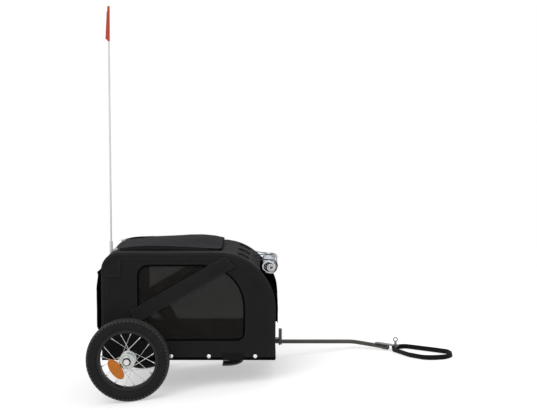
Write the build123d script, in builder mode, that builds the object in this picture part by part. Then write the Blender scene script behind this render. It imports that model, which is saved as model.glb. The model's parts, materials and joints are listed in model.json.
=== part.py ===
"""Dog bike trailer: a two-wheeled fabric cabin on a tube frame, with a cranked drawbar.

Millimetres. The model is drawn with the cabin level: X ahead of the wheels' axle,
Y to the left, Z up from the ground. The last step tips every piece nose down about
the wheels until the drawbar's end stands on the ground, which is how it parks.
"""

import os
from math import asin, atan2, cos, degrees, hypot, radians, sin, sqrt, tan

from build123d import *

# ---- Driving dimensions -----------------------------------------------------------
# Wheels
wheel_r = 150.0
wheel_gap = 38.5
tyre_width = 45.0
tyre_height = 44.0
tyre_seat_width = 27.0
rim_depth = 6.0
rim_base_t = 4.0
rim_width = 33.0
rim_flange_h = 6.4
rim_flange_t = 2.5
hub_half = 32.0
hub_shell_r = 13.0
hub_flange_r = 29.0
hub_flange_t = 4.0
hub_flange_y = 24.0
hub_cap_r = 15.0
hub_cap_t = 4.0
axle_r = 6.0
axle_button_r = 10.5
axle_button_t = 5.0
axle_plate_half = 28.0
axle_plate_above = 22.0
axle_plate_below = 22.0
axle_plate_t = 4.0
axle_plate_corner_r = 8.0
axle_boss_r = 12.0
spoke_r = 1.0
spoke_count = 16
spoke_lean = 45.0
spoke_first_angle = -7.75
spoke_lateral = 1.6
reflector_length = 84.0
reflector_width = 41.0
reflector_t = 5.0
reflector_at_r = 47.5
reflector_angle = 215.0

# Cabin outline, seen from the side
cabin_half_width = 206.0
cabin_rear_x = -101.0
cabin_front_x = 528.0
cabin_height = 392.0
cabin_below_axle = 14.0
front_lean = 0.5
rear_corner_r = 64.0
front_corner_r = 207.0
cloth_t = 2.0
tube_r = 8.0
tube_wall = 1.5
brace_r = 6.0
floor_t = 4.0
front_tube_angle = 54.0

# Windows and sewn pieces, in from the cabin's edges
window_behind_front = 116.0
window_ahead_of_rear = 136.0
window_above_base = 76.0
window_below_top = 49.0
window_corner_r = 35.0
window_foot_r = 25.0
window_front_r = 150.0
mesh_t = 1.0
mesh_overlap = 10.0
band_width = 52.0
band_angle = 30.0
band_behind_window = 20.0
band_above_base = 158.0
band_length = 410.0
band_edge_inset = 3.0
patch_size = 58.0
patch_corner_r = 6.0
patch_ahead_of_rear = 14.0
patch_below_top = 89.0

# Roof and its hatch
roof_front_angle = 38.0
hatch_ahead_of_rear = 58.0
hatch_over_front_curve = 10.4
hatch_half_width = 125.0
hatch_rise = 1.7
hatch_lap = 12.0
hatch_cut_depth = 6.0

# Front and rear closures
seam_r = 2.0
front_cover_offset = 6.0
front_cover_top_angle = 46.0
front_cover_return = 1.0
front_hinge_angle = 30.0
front_door_side_inset = 21.0
front_door_lap = 4.0
front_sill_height = 137.0
rear_hinge_below_top = 66.0
rear_door_side_inset = 24.0
rear_sill_height = 29.0
rear_sill_gap = 6.0
pocket_below_hinge = 18.0
pocket_height = 227.0
pocket_half_width = 120.0
pocket_depth = 30.0
pocket_corner_r = 15.0

# Rolled rain cover
roll_r = 24.0
roll_angle = 36.8
roll_gap = 2.7
roll_half_length = 125.0
film_t = 1.5
roll_strap_y = 75.0
roll_strap_width = 18.0
roll_strap_t = 2.0

# Drawbar and hitch
bar_inset = 1.0
bar_rear_x = 30.0
bar_reach = 307.0
bar_turn = 41.0
bar_bend_r = 60.0
bar_inner_run = 168.0
socket_ahead_of_bar_end = 10.0
socket_length = 30.0
socket_half_width = 14.0
socket_wall = 4.0
bracket_ahead_of_cabin = 15.0
bracket_t = 5.0
bracket_half_width = 14.0
bracket_height = 36.0
bracket_tab_length = 67.0
bracket_tab_t = 6.4
lock_pin_r = 4.0
lock_pin_head = 1.0
cap_r = 9.5
cap_length = 22.0
cap_end_t = 3.0
plate_t = 3.0
plate_width = 22.0
plate_length = 106.0
plate_lap = 56.0
plate_corner_r = 9.0
pin_from_plate_end = 12.0
pin_r = 4.0
pin_shank_step = 0.2
pin_shank_drop = 0.5
pin_below_plate = 7.8
pin_above_plate = 16.2
pin_collar_r = 7.0
pin_collar_t = 3.0
pin_ring_r = 7.5
pin_ring_wire_r = 1.8
pin_ring_sink = 1.0
strap_width = 14.5
strap_t = 2.2
strap_slack = 8.0
hook_behind_front = 116.0
hook_length = 76.0
hook_flat = 14.0
hook_drop = 22.0
hook_depth = 75.0
hook_t = 4.0

# Flag
flag_pole_r = 3.5
flag_pole_behind = 12.0
flag_pole_inset = 1.0
flag_pole_length = 1096.0
flag_socket_wall = 2.7
flag_socket_floor = 4.0
flag_socket_length = 189.0
flag_socket_below_top = 9.0
flag_tab_below_patch = (90.0, 22.0)
flag_tab_height = 26.0
flag_tab_lap = 20.0
flag_height = 131.0
flag_reach = 82.0
flag_tip_below = 81.0
flag_end_gap = 2.0
flag_t = 5.0

# Clearances
seat_gap = 0.3
running_gap = 0.05
door_gap = 5.0
axle_gap = 2.0

# ---- Derived places ----------------------------------------------------------------
cabin_base_z = wheel_r - cabin_below_axle
cabin_top_z = cabin_base_z + cabin_height
rail_size = 2 * tube_r
hoop_inset = cloth_t + seat_gap + tube_r
hoop_y = cabin_half_width - hoop_inset
hoop_inner_y = hoop_y - tube_r
rail_low_z = cabin_base_z
rail_top_z = rail_low_z + rail_size
rail_rear_x = cabin_rear_x + cloth_t + seat_gap
hoop_foot_z = rail_top_z + seat_gap + tube_r * sin(radians(front_lean))
side_inner_y = cabin_half_width - cloth_t
wheel_y = cabin_half_width + wheel_gap + tyre_width / 2
rim_inner_r = wheel_r - tyre_height - rim_depth
front_centre = (
    cabin_front_x + cabin_height * tan(radians(front_lean))
    - front_corner_r * tan(radians(90 + front_lean) / 2),
    cabin_top_z - front_corner_r,
)
wheel_plane = Plane(origin=(0, 0, wheel_r), x_dir=(1, 0, 0), z_dir=(0, -1, 0))

window_rear_x = cabin_rear_x + window_ahead_of_rear
window_front_x = cabin_front_x - window_behind_front
window_low_z = cabin_base_z + window_above_base
window_high_z = cabin_top_z - window_below_top
band_low = (window_rear_x - band_behind_window, cabin_base_z + band_above_base)
patch_corner = (cabin_rear_x + patch_ahead_of_rear, cabin_top_z - patch_below_top)

hatch_rear_x = cabin_rear_x + hatch_ahead_of_rear
hatch_front_x = front_centre[0] + hatch_over_front_curve
front_sill_z = cabin_base_z + front_sill_height
front_door_low_z = front_sill_z - front_door_lap
front_door_half_width = cabin_half_width - front_door_side_inset
rear_hinge_z = cabin_top_z - rear_hinge_below_top
rear_sill_z = cabin_base_z + rear_sill_height
rear_door_low_z = rear_sill_z + rear_sill_gap
rear_door_half_width = cabin_half_width - rear_door_side_inset
pocket_high_z = rear_hinge_z - pocket_below_hinge
pocket_low_z = pocket_high_z - pocket_height

bar_r = tube_r
bar_y = cabin_half_width - bar_inset
bar_z = rail_low_z - seat_gap - bracket_tab_t - seat_gap - bar_r
bar_corner_x = cabin_front_x + bar_reach
socket_x = bar_rear_x + socket_ahead_of_bar_end
bracket_x = cabin_front_x + bracket_ahead_of_cabin
bracket_top_z = cabin_base_z + bracket_height
bracket_low_z = bar_z - bar_r - socket_wall
hook_front_x = cabin_front_x - hook_behind_front
hook_rear_x = hook_front_x - hook_length
hook_low_z = rail_low_z - hook_drop
plate_low = bar_z + cap_r + seat_gap
plate_start = bar_inner_run - plate_lap
plate_end = plate_start + plate_length
pin_at = plate_end - pin_from_plate_end
pin_low_z = plate_low - pin_below_plate
pin_high_z = plate_low + plate_t + pin_above_plate

flag_pole_x = cabin_rear_x - flag_pole_behind
flag_pole_y = cabin_half_width - flag_pole_inset
flag_socket_r = flag_pole_r + seat_gap + flag_socket_wall
flag_socket_high_z = cabin_top_z - flag_socket_below_top
flag_socket_low_z = flag_socket_high_z - flag_socket_length
flag_pole_low_z = flag_socket_low_z + flag_socket_floor
flag_pole_high_z = flag_pole_low_z + flag_pole_length


def front_x_at(z, inset=0.0):
    """The cabin's straight front edge at height z, moved inward by inset."""
    lean = radians(front_lean)
    return cabin_front_x + (z - cabin_base_z) * tan(lean) - inset / cos(lean)


def side_points(inset, base_z):
    """Corners of the cabin's side outline, moved inward by inset and cut at base_z."""
    top = cabin_top_z - inset
    return (
        (cabin_rear_x + inset, base_z),
        (cabin_rear_x + inset, top),
        (front_x_at(top, inset), top),
        (front_x_at(base_z, inset), base_z),
    )


def side_radii(inset):
    return (rear_corner_r - inset, front_corner_r - inset)


def side_face(inset, base_z=cabin_base_z):
    """The filled side outline."""
    with BuildSketch() as face:
        with BuildLine() as edge:
            outline = FilletPolyline(*side_points(inset, base_z), radius=side_radii(inset))
            Line(outline @ 1, outline @ 0)
        make_face()
    return face.sketch


def side_strip(inset, thickness):
    """A cloth's edge-on profile that follows the side outline."""
    with BuildSketch() as strip:
        add(side_face(inset))
        add(side_face(inset + thickness, base_z=cabin_base_z - 1), mode=Mode.SUBTRACT)
    return strip.sketch


def region(*corners):
    """A filled polygon, which keeps or cuts part of a profile."""
    with BuildSketch() as area:
        with BuildLine():
            Polyline(*corners, close=True)
        make_face()
    return area.sketch


def on_front(angle, reach):
    """A point at an angle above level on the rounded front, reach from its centre."""
    turn = radians(angle)
    return (front_centre[0] + reach * cos(turn), front_centre[1] + reach * sin(turn))


def right_plane(y):
    """The side plane at distance y to the right of the middle."""
    return Plane.XZ.offset(y)


def other_side(piece):
    with BuildPart() as twin:
        mirror(piece.part, about=Plane.XZ)
    return twin


# ---- Base frame --------------------------------------------------------------------
def square_tube():
    """The rails' hollow section."""
    with BuildSketch() as section:
        Rectangle(rail_size, rail_size)
        Rectangle(rail_size - 2 * tube_wall, rail_size - 2 * tube_wall, mode=Mode.SUBTRACT)
    return section.sketch


def round_tube(radius):
    """A round tube's hollow section."""
    with BuildSketch() as section:
        Circle(radius)
        Circle(radius - tube_wall, mode=Mode.SUBTRACT)
    return section.sketch


rail_front_x = front_x_at(rail_low_z, cloth_t + seat_gap)
rail_mid_z = rail_low_z + rail_size / 2
with BuildPart() as base_rail_right:
    with BuildSketch(Plane(origin=(rail_rear_x, -hoop_y, rail_mid_z), z_dir=(1, 0, 0))):
        add(square_tube())
    extrude(amount=rail_front_x - rail_rear_x)
base_rail_left = other_side(base_rail_right)

with BuildPart() as base_cross_tubes:
    for cross_x in (rail_rear_x + rail_size / 2, 0.0, rail_front_x - rail_size / 2):
        tube_end = Plane(origin=(cross_x, hoop_inner_y, rail_mid_z), x_dir=(1, 0, 0), z_dir=(0, -1, 0))
        with BuildSketch(tube_end):
            add(square_tube())
        extrude(amount=2 * hoop_inner_y)

with BuildPart() as floor_board:
    with BuildSketch(Plane.XY.offset(rail_top_z)):
        with BuildLine():
            Polyline(
                (rail_rear_x + door_gap, -hoop_inner_y + seat_gap),
                (rail_front_x, -hoop_inner_y + seat_gap),
                (rail_front_x, hoop_inner_y - seat_gap),
                (rail_rear_x + door_gap, hoop_inner_y - seat_gap),
                close=True,
            )
        make_face()
    extrude(amount=floor_t)

# ---- Side hoops, braces and upper cross tubes ----------------------------------------
with BuildPart() as hoop_right:
    with BuildLine(right_plane(hoop_y)) as hoop_path:
        FilletPolyline(*side_points(hoop_inset, hoop_foot_z), radius=side_radii(hoop_inset))
    with BuildSketch(Plane(origin=hoop_path.line @ 0, z_dir=hoop_path.line % 0)):
        add(round_tube(tube_r))
    sweep()
hoop_left = other_side(hoop_right)

with BuildPart() as roof_cross_tubes:
    tube_spots = (
        (cabin_rear_x + rear_corner_r, cabin_top_z - hoop_inset),
        on_front(front_tube_angle, front_corner_r - hoop_inset),
    )
    with BuildSketch(right_plane(hoop_inner_y - seat_gap)):
        with Locations(*tube_spots):
            Circle(tube_r)
        with Locations(*tube_spots):
            Circle(tube_r - tube_wall, mode=Mode.SUBTRACT)
    extrude(amount=-2 * (hoop_inner_y - seat_gap))

# ---- Sewn side panels ----------------------------------------------------------------
def window_face(grow):
    """The window's outline, grown outward by grow."""
    low = window_low_z - grow
    high = window_high_z + grow
    lean = tan(radians(front_lean))
    rear = window_rear_x - grow
    front = window_front_x + grow
    corner_radii = (window_foot_r, window_corner_r, window_front_r, window_foot_r)
    with BuildSketch() as face:
        with BuildLine():
            FilletPolyline(
                (rear, low),
                (rear, high),
                (front + (high - low) * lean, high),
                (front, low),
                radius=[radius + grow for radius in corner_radii],
                close=True,
            )
        make_face()
    return face.sketch


with BuildPart() as side_panel_right:
    notch_half = axle_plate_half + seat_gap
    notch_top_z = wheel_r + axle_plate_above + seat_gap
    with BuildSketch(right_plane(side_inner_y)):
        add(side_face(0))
        add(window_face(0), mode=Mode.SUBTRACT)
        axle_notch = region(
            (-notch_half, cabin_base_z - 1),
            (-notch_half, notch_top_z),
            (notch_half, notch_top_z),
            (notch_half, cabin_base_z - 1),
        )
        add(axle_notch, mode=Mode.SUBTRACT)
    extrude(amount=cloth_t)
side_panel_left = other_side(side_panel_right)

with BuildPart() as side_mesh_right:
    with BuildSketch(right_plane(side_inner_y - seat_gap)):
        add(window_face(mesh_overlap))
    extrude(amount=-mesh_t)
side_mesh_left = other_side(side_mesh_right)

band_dir = Vector(cos(radians(band_angle)), sin(radians(band_angle)))
with BuildPart() as window_band_right:
    with BuildSketch(right_plane(cabin_half_width + seat_gap)):
        band_mid = Vector(*band_low) + band_dir * band_length / 2
        with Locations(Location((band_mid.X, band_mid.Y), band_angle)):
            Rectangle(band_length, band_width)
        add(side_face(band_edge_inset), mode=Mode.INTERSECT)
    extrude(amount=cloth_t)
window_band_left = other_side(window_band_right)

with BuildPart() as corner_patch_right:
    with BuildSketch(right_plane(cabin_half_width + seat_gap)):
        with Locations(patch_corner):
            RectangleRounded(patch_size, patch_size, patch_corner_r, align=(Align.MIN, Align.MIN))
    extrude(amount=cloth_t)
corner_patch_left = other_side(corner_patch_right)

with BuildPart() as brace_right:
    brace_mid = Plane(origin=(band_mid.X, -hoop_y, band_mid.Y), z_dir=(band_dir.X, 0, band_dir.Y))
    with BuildSketch(brace_mid):
        add(round_tube(brace_r))
    extrude(amount=band_length, both=True)
    with BuildSketch(right_plane(hoop_y)):
        add(side_face(hoop_inset + tube_r + seat_gap, base_z=rail_top_z))
    extrude(amount=brace_r, both=True, mode=Mode.INTERSECT)
brace_left = other_side(brace_right)

# ---- Roof, front and rear cloth ------------------------------------------------------
roof_half_width = side_inner_y - seat_gap
hatch_hole_front_x = hatch_front_x - hatch_lap
hatch_hole_rear_x = hatch_rear_x + hatch_lap
hatch_hole_half = hatch_half_width - hatch_lap
with BuildPart() as roof_panel:
    rear_end_z = rear_hinge_z + seam_r + seat_gap
    front_end_z = front_centre[1] + front_corner_r * sin(radians(roof_front_angle))
    with BuildSketch(right_plane(roof_half_width)):
        add(side_strip(0, cloth_t))
        kept = region(
            (cabin_rear_x - 1, rear_end_z),
            (0, rear_end_z),
            (0, front_end_z),
            (front_x_at(front_end_z) + 1, front_end_z),
            (front_x_at(front_end_z) + 1, cabin_top_z + 1),
            (cabin_rear_x - 1, cabin_top_z + 1),
        )
        add(kept, mode=Mode.INTERSECT)
    extrude(amount=-2 * roof_half_width)
    with BuildSketch(Plane.XY.offset(cabin_top_z + 1)):
        with Locations(((hatch_hole_rear_x + hatch_hole_front_x) / 2, 0)):
            Rectangle(hatch_hole_front_x - hatch_hole_rear_x, 2 * hatch_hole_half)
    extrude(amount=-cloth_t - hatch_cut_depth, mode=Mode.SUBTRACT)

hatch_axis_z = cabin_top_z + seat_gap + seam_r
with BuildPart() as roof_hatch:
    rise = radians(hatch_rise)
    hatch_length = (hatch_front_x - hatch_rear_x) / cos(rise)
    with BuildSketch(right_plane(hatch_half_width)):
        with Locations((hatch_rear_x, hatch_axis_z)):
            Circle(seam_r)
        with Locations(Location((hatch_rear_x, hatch_axis_z), hatch_rise)):
            Rectangle(hatch_length, cloth_t, align=(Align.MIN, Align.CENTER))
    extrude(amount=-2 * hatch_half_width)

front_seam_reach = front_corner_r + front_cover_offset + cloth_t / 2
front_hinge = on_front(front_hinge_angle, front_seam_reach)
seam_half_angle = degrees((seam_r + seat_gap) / front_seam_reach)
far_reach = 2 * front_corner_r
with BuildPart() as front_panel:
    with BuildSketch(right_plane(front_door_half_width)):
        add(side_strip(-front_cover_offset - cloth_t, cloth_t))
        kept = region(
            front_centre,
            on_front(front_hinge_angle + seam_half_angle, far_reach),
            on_front(front_cover_top_angle, far_reach),
        )
        add(kept, mode=Mode.INTERSECT)
    extrude(amount=-2 * front_door_half_width)
    with BuildSketch(right_plane(front_door_half_width)):
        add(side_strip(-front_cover_offset - cloth_t, front_cover_offset + cloth_t - seat_gap))
        kept = region(
            front_centre,
            on_front(front_cover_top_angle - front_cover_return, far_reach),
            on_front(front_cover_top_angle, far_reach),
        )
        add(kept, mode=Mode.INTERSECT)
    extrude(amount=-2 * front_door_half_width)

with BuildPart() as front_door:
    with BuildSketch(right_plane(front_door_half_width)):
        add(side_strip(-front_cover_offset - cloth_t, cloth_t))
        below_hinge = region(
            front_centre,
            (front_centre[0], front_centre[1] - far_reach),
            (front_centre[0] + far_reach, front_centre[1] - far_reach),
            on_front(front_hinge_angle, far_reach),
        )
        add(below_hinge, mode=Mode.INTERSECT)
        above_sill = region(
            (front_centre[0], front_door_low_z),
            (front_centre[0] + far_reach, front_door_low_z),
            (front_centre[0] + far_reach, cabin_top_z),
            (front_centre[0], cabin_top_z),
        )
        add(above_sill, mode=Mode.INTERSECT)
        with Locations(front_hinge):
            Circle(seam_r)
    extrude(amount=-2 * front_door_half_width)

with BuildPart() as front_lower_panel:
    with BuildSketch(right_plane(roof_half_width)):
        add(side_strip(0, cloth_t))
        kept = region(
            (0, cabin_base_z),
            (cabin_front_x + far_reach, cabin_base_z),
            (cabin_front_x + far_reach, front_sill_z),
            (0, front_sill_z),
        )
        add(kept, mode=Mode.INTERSECT)
    extrude(amount=-2 * roof_half_width)

with BuildPart() as rear_lower_panel:
    with BuildSketch(Plane.YZ.offset(cabin_rear_x)):
        with Locations((0, cabin_base_z)):
            Rectangle(2 * roof_half_width, rear_sill_z - cabin_base_z, align=(Align.CENTER, Align.MIN))
    extrude(amount=cloth_t)

rear_hinge_x = cabin_rear_x + cloth_t / 2
with BuildPart() as rear_door:
    with BuildSketch(Plane.YZ.offset(cabin_rear_x)):
        with Locations((0, rear_door_low_z)):
            Rectangle(
                2 * rear_door_half_width,
                rear_hinge_z - rear_door_low_z,
                align=(Align.CENTER, Align.MIN),
            )
    extrude(amount=cloth_t)
    with BuildSketch(right_plane(rear_door_half_width)):
        with Locations((rear_hinge_x, rear_hinge_z)):
            Circle(seam_r)
    extrude(amount=-2 * rear_door_half_width)

with BuildPart() as rear_pocket:
    pocket_back_x = cabin_rear_x - seat_gap
    with BuildSketch(Plane.YZ.offset(pocket_back_x)):
        with Locations((0, pocket_low_z)):
            Rectangle(
                2 * pocket_half_width, pocket_high_z - pocket_low_z, align=(Align.CENTER, Align.MIN)
            )
    extrude(amount=-pocket_depth)
    rear_face = pocket_back_x - pocket_depth
    low_edges = rear_pocket.edges().filter_by_position(Axis.X, rear_face - 0.1, rear_face + 0.1)
    low_edges = low_edges.filter_by_position(Axis.Z, pocket_low_z - 1, pocket_high_z - 1)
    fillet(low_edges, radius=pocket_corner_r)
    mouth = rear_pocket.faces().sort_by(Axis.Z)[-1]
    offset(amount=-cloth_t, openings=mouth)

# ---- Rolled rain cover ---------------------------------------------------------------
roll_x, roll_z = on_front(roll_angle, front_corner_r + front_cover_offset + cloth_t + roll_gap + roll_r)
film_z = roll_z + roll_r
film_x = front_centre[0] + sqrt(front_corner_r**2 - (film_z - front_centre[1]) ** 2)
with BuildPart() as rain_cover:
    with BuildSketch(right_plane(roll_half_length)):
        with Locations((roll_x, roll_z)):
            Circle(roll_r)
        with Locations((roll_x, roll_z + roll_r - film_t)):
            Rectangle(roll_x - film_x - seat_gap, film_t, align=(Align.MAX, Align.MIN))
        with Locations(front_centre):
            Circle(front_corner_r + seat_gap, mode=Mode.SUBTRACT)
    extrude(amount=-2 * roll_half_length)

with BuildPart() as roll_strap_right:
    strap_inner = roll_r + seat_gap
    with BuildSketch(right_plane(roll_strap_y + roll_strap_width / 2)):
        with Locations((roll_x, roll_z)):
            Circle(strap_inner + roll_strap_t)
            Circle(strap_inner, mode=Mode.SUBTRACT)
        with Locations((roll_x, roll_z + roll_r - film_t - seat_gap)):
            Rectangle(2 * roll_r, 2 * roll_r, align=(Align.MAX, Align.MIN), mode=Mode.SUBTRACT)
    extrude(amount=-roll_strap_width)
roll_strap_left = other_side(roll_strap_right)

# ---- Axle brackets, axles and wheels ---------------------------------------------------
hub_inner_y = wheel_y - hub_half
hub_outer_y = wheel_y + hub_half + hub_cap_t
axle_boss_y = hub_inner_y - axle_gap
with BuildPart() as axle_bracket_right:
    with BuildSketch(right_plane(side_inner_y)):
        with BuildLine():
            Polyline(
                (-axle_plate_half, wheel_r - axle_plate_below),
                (axle_plate_half, wheel_r - axle_plate_below),
                (axle_plate_half, wheel_r + axle_plate_above),
                (-axle_plate_half, wheel_r + axle_plate_above),
                close=True,
            )
        make_face()
    extrude(amount=axle_plate_t)
    fillet(axle_bracket_right.edges().filter_by(Axis.Y), radius=axle_plate_corner_r)
    with BuildSketch(wheel_plane.offset(side_inner_y)):
        Circle(axle_boss_r)
    extrude(amount=axle_boss_y - side_inner_y)
    with BuildSketch(wheel_plane.offset(side_inner_y)):
        Circle(axle_r + seat_gap)
    extrude(amount=axle_boss_y - side_inner_y, mode=Mode.SUBTRACT)
axle_bracket_left = other_side(axle_bracket_right)

with BuildPart() as axle_right:
    with BuildSketch(wheel_plane.offset(side_inner_y)):
        Circle(axle_r)
    extrude(amount=hub_outer_y + axle_gap - side_inner_y)
    with BuildSketch(wheel_plane.offset(hub_outer_y + axle_gap)):
        Circle(axle_button_r)
    extrude(amount=axle_button_t)
axle_left = other_side(axle_right)

with BuildPart() as hub_right:
    with BuildSketch(wheel_plane.offset(wheel_y)):
        Circle(hub_shell_r)
    extrude(amount=hub_half, both=True)
    flange_planes = [wheel_plane.offset(wheel_y + side * hub_flange_y) for side in (-1, 1)]
    with BuildSketch(*flange_planes):
        Circle(hub_flange_r)
    extrude(amount=hub_flange_t / 2, both=True)
    with BuildSketch(wheel_plane.offset(wheel_y + hub_half)):
        Circle(hub_cap_r)
    extrude(amount=hub_cap_t)
    with BuildSketch(wheel_plane.offset(wheel_y)):
        Circle(axle_r + running_gap)
    extrude(amount=2 * hub_half, both=True, mode=Mode.SUBTRACT)
hub_left = other_side(hub_right)

wheel_axis = Axis((0, 0, wheel_r), (0, 1, 0))
with BuildPart() as rim_right:
    with BuildSketch(Plane.YZ):
        with Locations((-wheel_y, wheel_r + rim_inner_r)):
            Rectangle(rim_width, rim_base_t, align=(Align.CENTER, Align.MIN))
        for side in (-1, 1):
            with Locations((-wheel_y + side * rim_width / 2, wheel_r + rim_inner_r)):
                Rectangle(
                    rim_flange_t,
                    rim_base_t + rim_flange_h,
                    align=(Align.MAX if side > 0 else Align.MIN, Align.MIN),
                )
    revolve(axis=wheel_axis)
rim_left = other_side(rim_right)

with BuildPart() as tyre_right:
    with BuildSketch(Plane.YZ):
        with Locations((-wheel_y, 2 * wheel_r - tyre_height / 2)):
            Ellipse(tyre_width / 2, tyre_height / 2)
        tyre_foot_z = wheel_r + rim_inner_r + rim_base_t + seat_gap
        with Locations((-wheel_y, tyre_foot_z)):
            Rectangle(
                tyre_seat_width,
                2 * wheel_r - tyre_height / 2 - tyre_foot_z,
                align=(Align.CENTER, Align.MIN),
            )
    revolve(axis=wheel_axis)
tyre_left = other_side(tyre_right)


def spoke_planes():
    """One plane a spoke: its origin at the hub's flange and its normal to the rim."""
    hub_end_r = hub_flange_r + spoke_r + seat_gap
    planes = []
    for number in range(spoke_count):
        near = 1 if number % 2 else -1
        trailing = 1 if number % 4 in (0, 3) else -1
        rim_turn = radians(spoke_first_angle + number * 360 / spoke_count)
        hub_turn = rim_turn + trailing * radians(spoke_lean)
        hub_y = -wheel_y - near * (hub_flange_y + trailing * spoke_lateral)
        rim_y = -wheel_y - near * 2 * spoke_r
        rim_end_r = rim_inner_r - spoke_r / 2
        start = Vector(hub_end_r * cos(hub_turn), hub_y, wheel_r + hub_end_r * sin(hub_turn))
        end = Vector(rim_end_r * cos(rim_turn), rim_y, wheel_r + rim_end_r * sin(rim_turn))
        planes.append((Plane(origin=start, z_dir=end - start), (end - start).length))
    return planes


with BuildPart() as spokes_right:
    for spoke_plane, spoke_length in spoke_planes():
        with BuildSketch(spoke_plane):
            Circle(spoke_r)
        extrude(amount=spoke_length)
spokes_left = other_side(spokes_right)

# The reflector lies on the outer spokes where they leave the hub's flange.
reflector_y = hub_flange_y + spoke_lateral + spoke_r + seat_gap
with BuildPart() as wheel_reflector_right:
    reflector_turn = radians(reflector_angle)
    reflector_centre = (
        reflector_at_r * cos(reflector_turn),
        reflector_at_r * sin(reflector_turn),
    )
    with BuildSketch(wheel_plane.offset(wheel_y + reflector_y)):
        with Locations(Location(reflector_centre, reflector_angle + 90)):
            Ellipse(reflector_length / 2, reflector_width / 2)
    extrude(amount=reflector_t)
wheel_reflector_left = other_side(wheel_reflector_right)

# ---- Drawbar and hitch -----------------------------------------------------------------
turn = radians(bar_turn)
bar_heading = Vector(cos(turn), -sin(turn), 0)
bar_corner = Vector(bar_corner_x, bar_y, bar_z)


def along_bar(distance, z):
    """A point beyond the drawbar's corner, at height z."""
    spot = bar_corner + bar_heading * distance
    return Vector(spot.X, spot.Y, z)


with BuildPart() as drawbar:
    with BuildLine() as bar_path:
        FilletPolyline(
            (bar_rear_x, bar_y, bar_z),
            bar_corner,
            along_bar(bar_inner_run, bar_z),
            radius=bar_bend_r,
        )
    with BuildSketch(Plane(origin=bar_path.line @ 0, z_dir=bar_path.line % 0)):
        add(round_tube(bar_r))
    sweep()
    lock_pin_spot = (bracket_x + bracket_t + lock_pin_r + seat_gap, bar_y)
    with BuildSketch(Plane.XY.offset(bar_z)):
        with Locations(lock_pin_spot):
            Circle(lock_pin_r + seat_gap)
    extrude(amount=2 * bar_r, both=True, mode=Mode.SUBTRACT)

with BuildPart() as drawbar_cap:
    cap_start = along_bar(bar_inner_run - cap_length, bar_z)
    with BuildSketch(Plane(origin=cap_start, z_dir=bar_heading)):
        Circle(cap_r)
    extrude(amount=cap_length + seat_gap + cap_end_t)
    with BuildSketch(Plane(origin=cap_start, z_dir=bar_heading)):
        Circle(bar_r + seat_gap)
    extrude(amount=cap_length + seat_gap, mode=Mode.SUBTRACT)

with BuildPart() as drawbar_socket:
    with BuildSketch(Plane.YZ.offset(socket_x)):
        socket_height = rail_low_z - bracket_low_z
        with Locations((bar_y, bracket_low_z)):
            Rectangle(2 * socket_half_width, socket_height, align=(Align.CENTER, Align.MIN))
        with Locations((bar_y, bar_z)):
            Circle(bar_r + seat_gap, mode=Mode.SUBTRACT)
    extrude(amount=socket_length)

with BuildPart() as drawbar_bracket:
    with BuildSketch(Plane.YZ.offset(bracket_x)):
        with Locations((bar_y, bracket_low_z)):
            Rectangle(
                2 * bracket_half_width, bracket_top_z - bracket_low_z, align=(Align.CENTER, Align.MIN)
            )
        with Locations((bar_y, bar_z)):
            Circle(bar_r + seat_gap, mode=Mode.SUBTRACT)
    extrude(amount=bracket_t)
    with BuildSketch(Plane.XY.offset(bar_z + bar_r + seat_gap)):
        with BuildLine():
            Polyline(
                (bracket_x - bracket_tab_length, bar_y - bracket_half_width),
                (bracket_x + bracket_t, bar_y - bracket_half_width),
                (bracket_x + bracket_t, bar_y + bracket_half_width),
                (bracket_x - bracket_tab_length, bar_y + bracket_half_width),
                close=True,
            )
        make_face()
    extrude(amount=bracket_tab_t)

with BuildPart() as drawbar_pin:
    with BuildSketch(Plane.XY.offset(bracket_low_z)):
        with Locations(lock_pin_spot):
            Circle(lock_pin_r)
    extrude(amount=bracket_top_z + lock_pin_head - bracket_low_z)

with BuildPart() as hitch_plate:
    plate_plane = Plane(origin=along_bar(plate_start, plate_low), x_dir=bar_heading, z_dir=(0, 0, 1))
    with BuildSketch(plate_plane):
        Rectangle(plate_length, plate_width, align=(Align.MIN, Align.CENTER))
        with Locations((pin_at - plate_start, 0)):
            Circle(pin_r + pin_shank_step + seat_gap, mode=Mode.SUBTRACT)
    extrude(amount=plate_t)
    fillet(hitch_plate.edges().filter_by(Axis.Z), radius=plate_corner_r)

with BuildPart() as hitch_pin:
    pin_spot = along_bar(pin_at, pin_low_z)
    with BuildSketch(Plane(origin=pin_spot, z_dir=(0, 0, 1))):
        Circle(pin_r)
    extrude(amount=pin_below_plate - pin_shank_drop)
    shank_low = along_bar(pin_at, plate_low - pin_shank_drop)
    with BuildSketch(Plane(origin=shank_low, z_dir=(0, 0, 1))):
        Circle(pin_r + pin_shank_step)
    extrude(amount=pin_shank_drop + plate_t + pin_above_plate)
    with BuildSketch(Plane(origin=along_bar(pin_at, plate_low + plate_t + seat_gap), z_dir=(0, 0, 1))):
        Circle(pin_collar_r)
    extrude(amount=pin_collar_t)
    ring_centre = along_bar(pin_at, pin_high_z + pin_ring_r - pin_ring_sink)
    with Locations(Location(ring_centre, (90, 0, 45))):
        Torus(pin_ring_r, pin_ring_wire_r)

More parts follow.
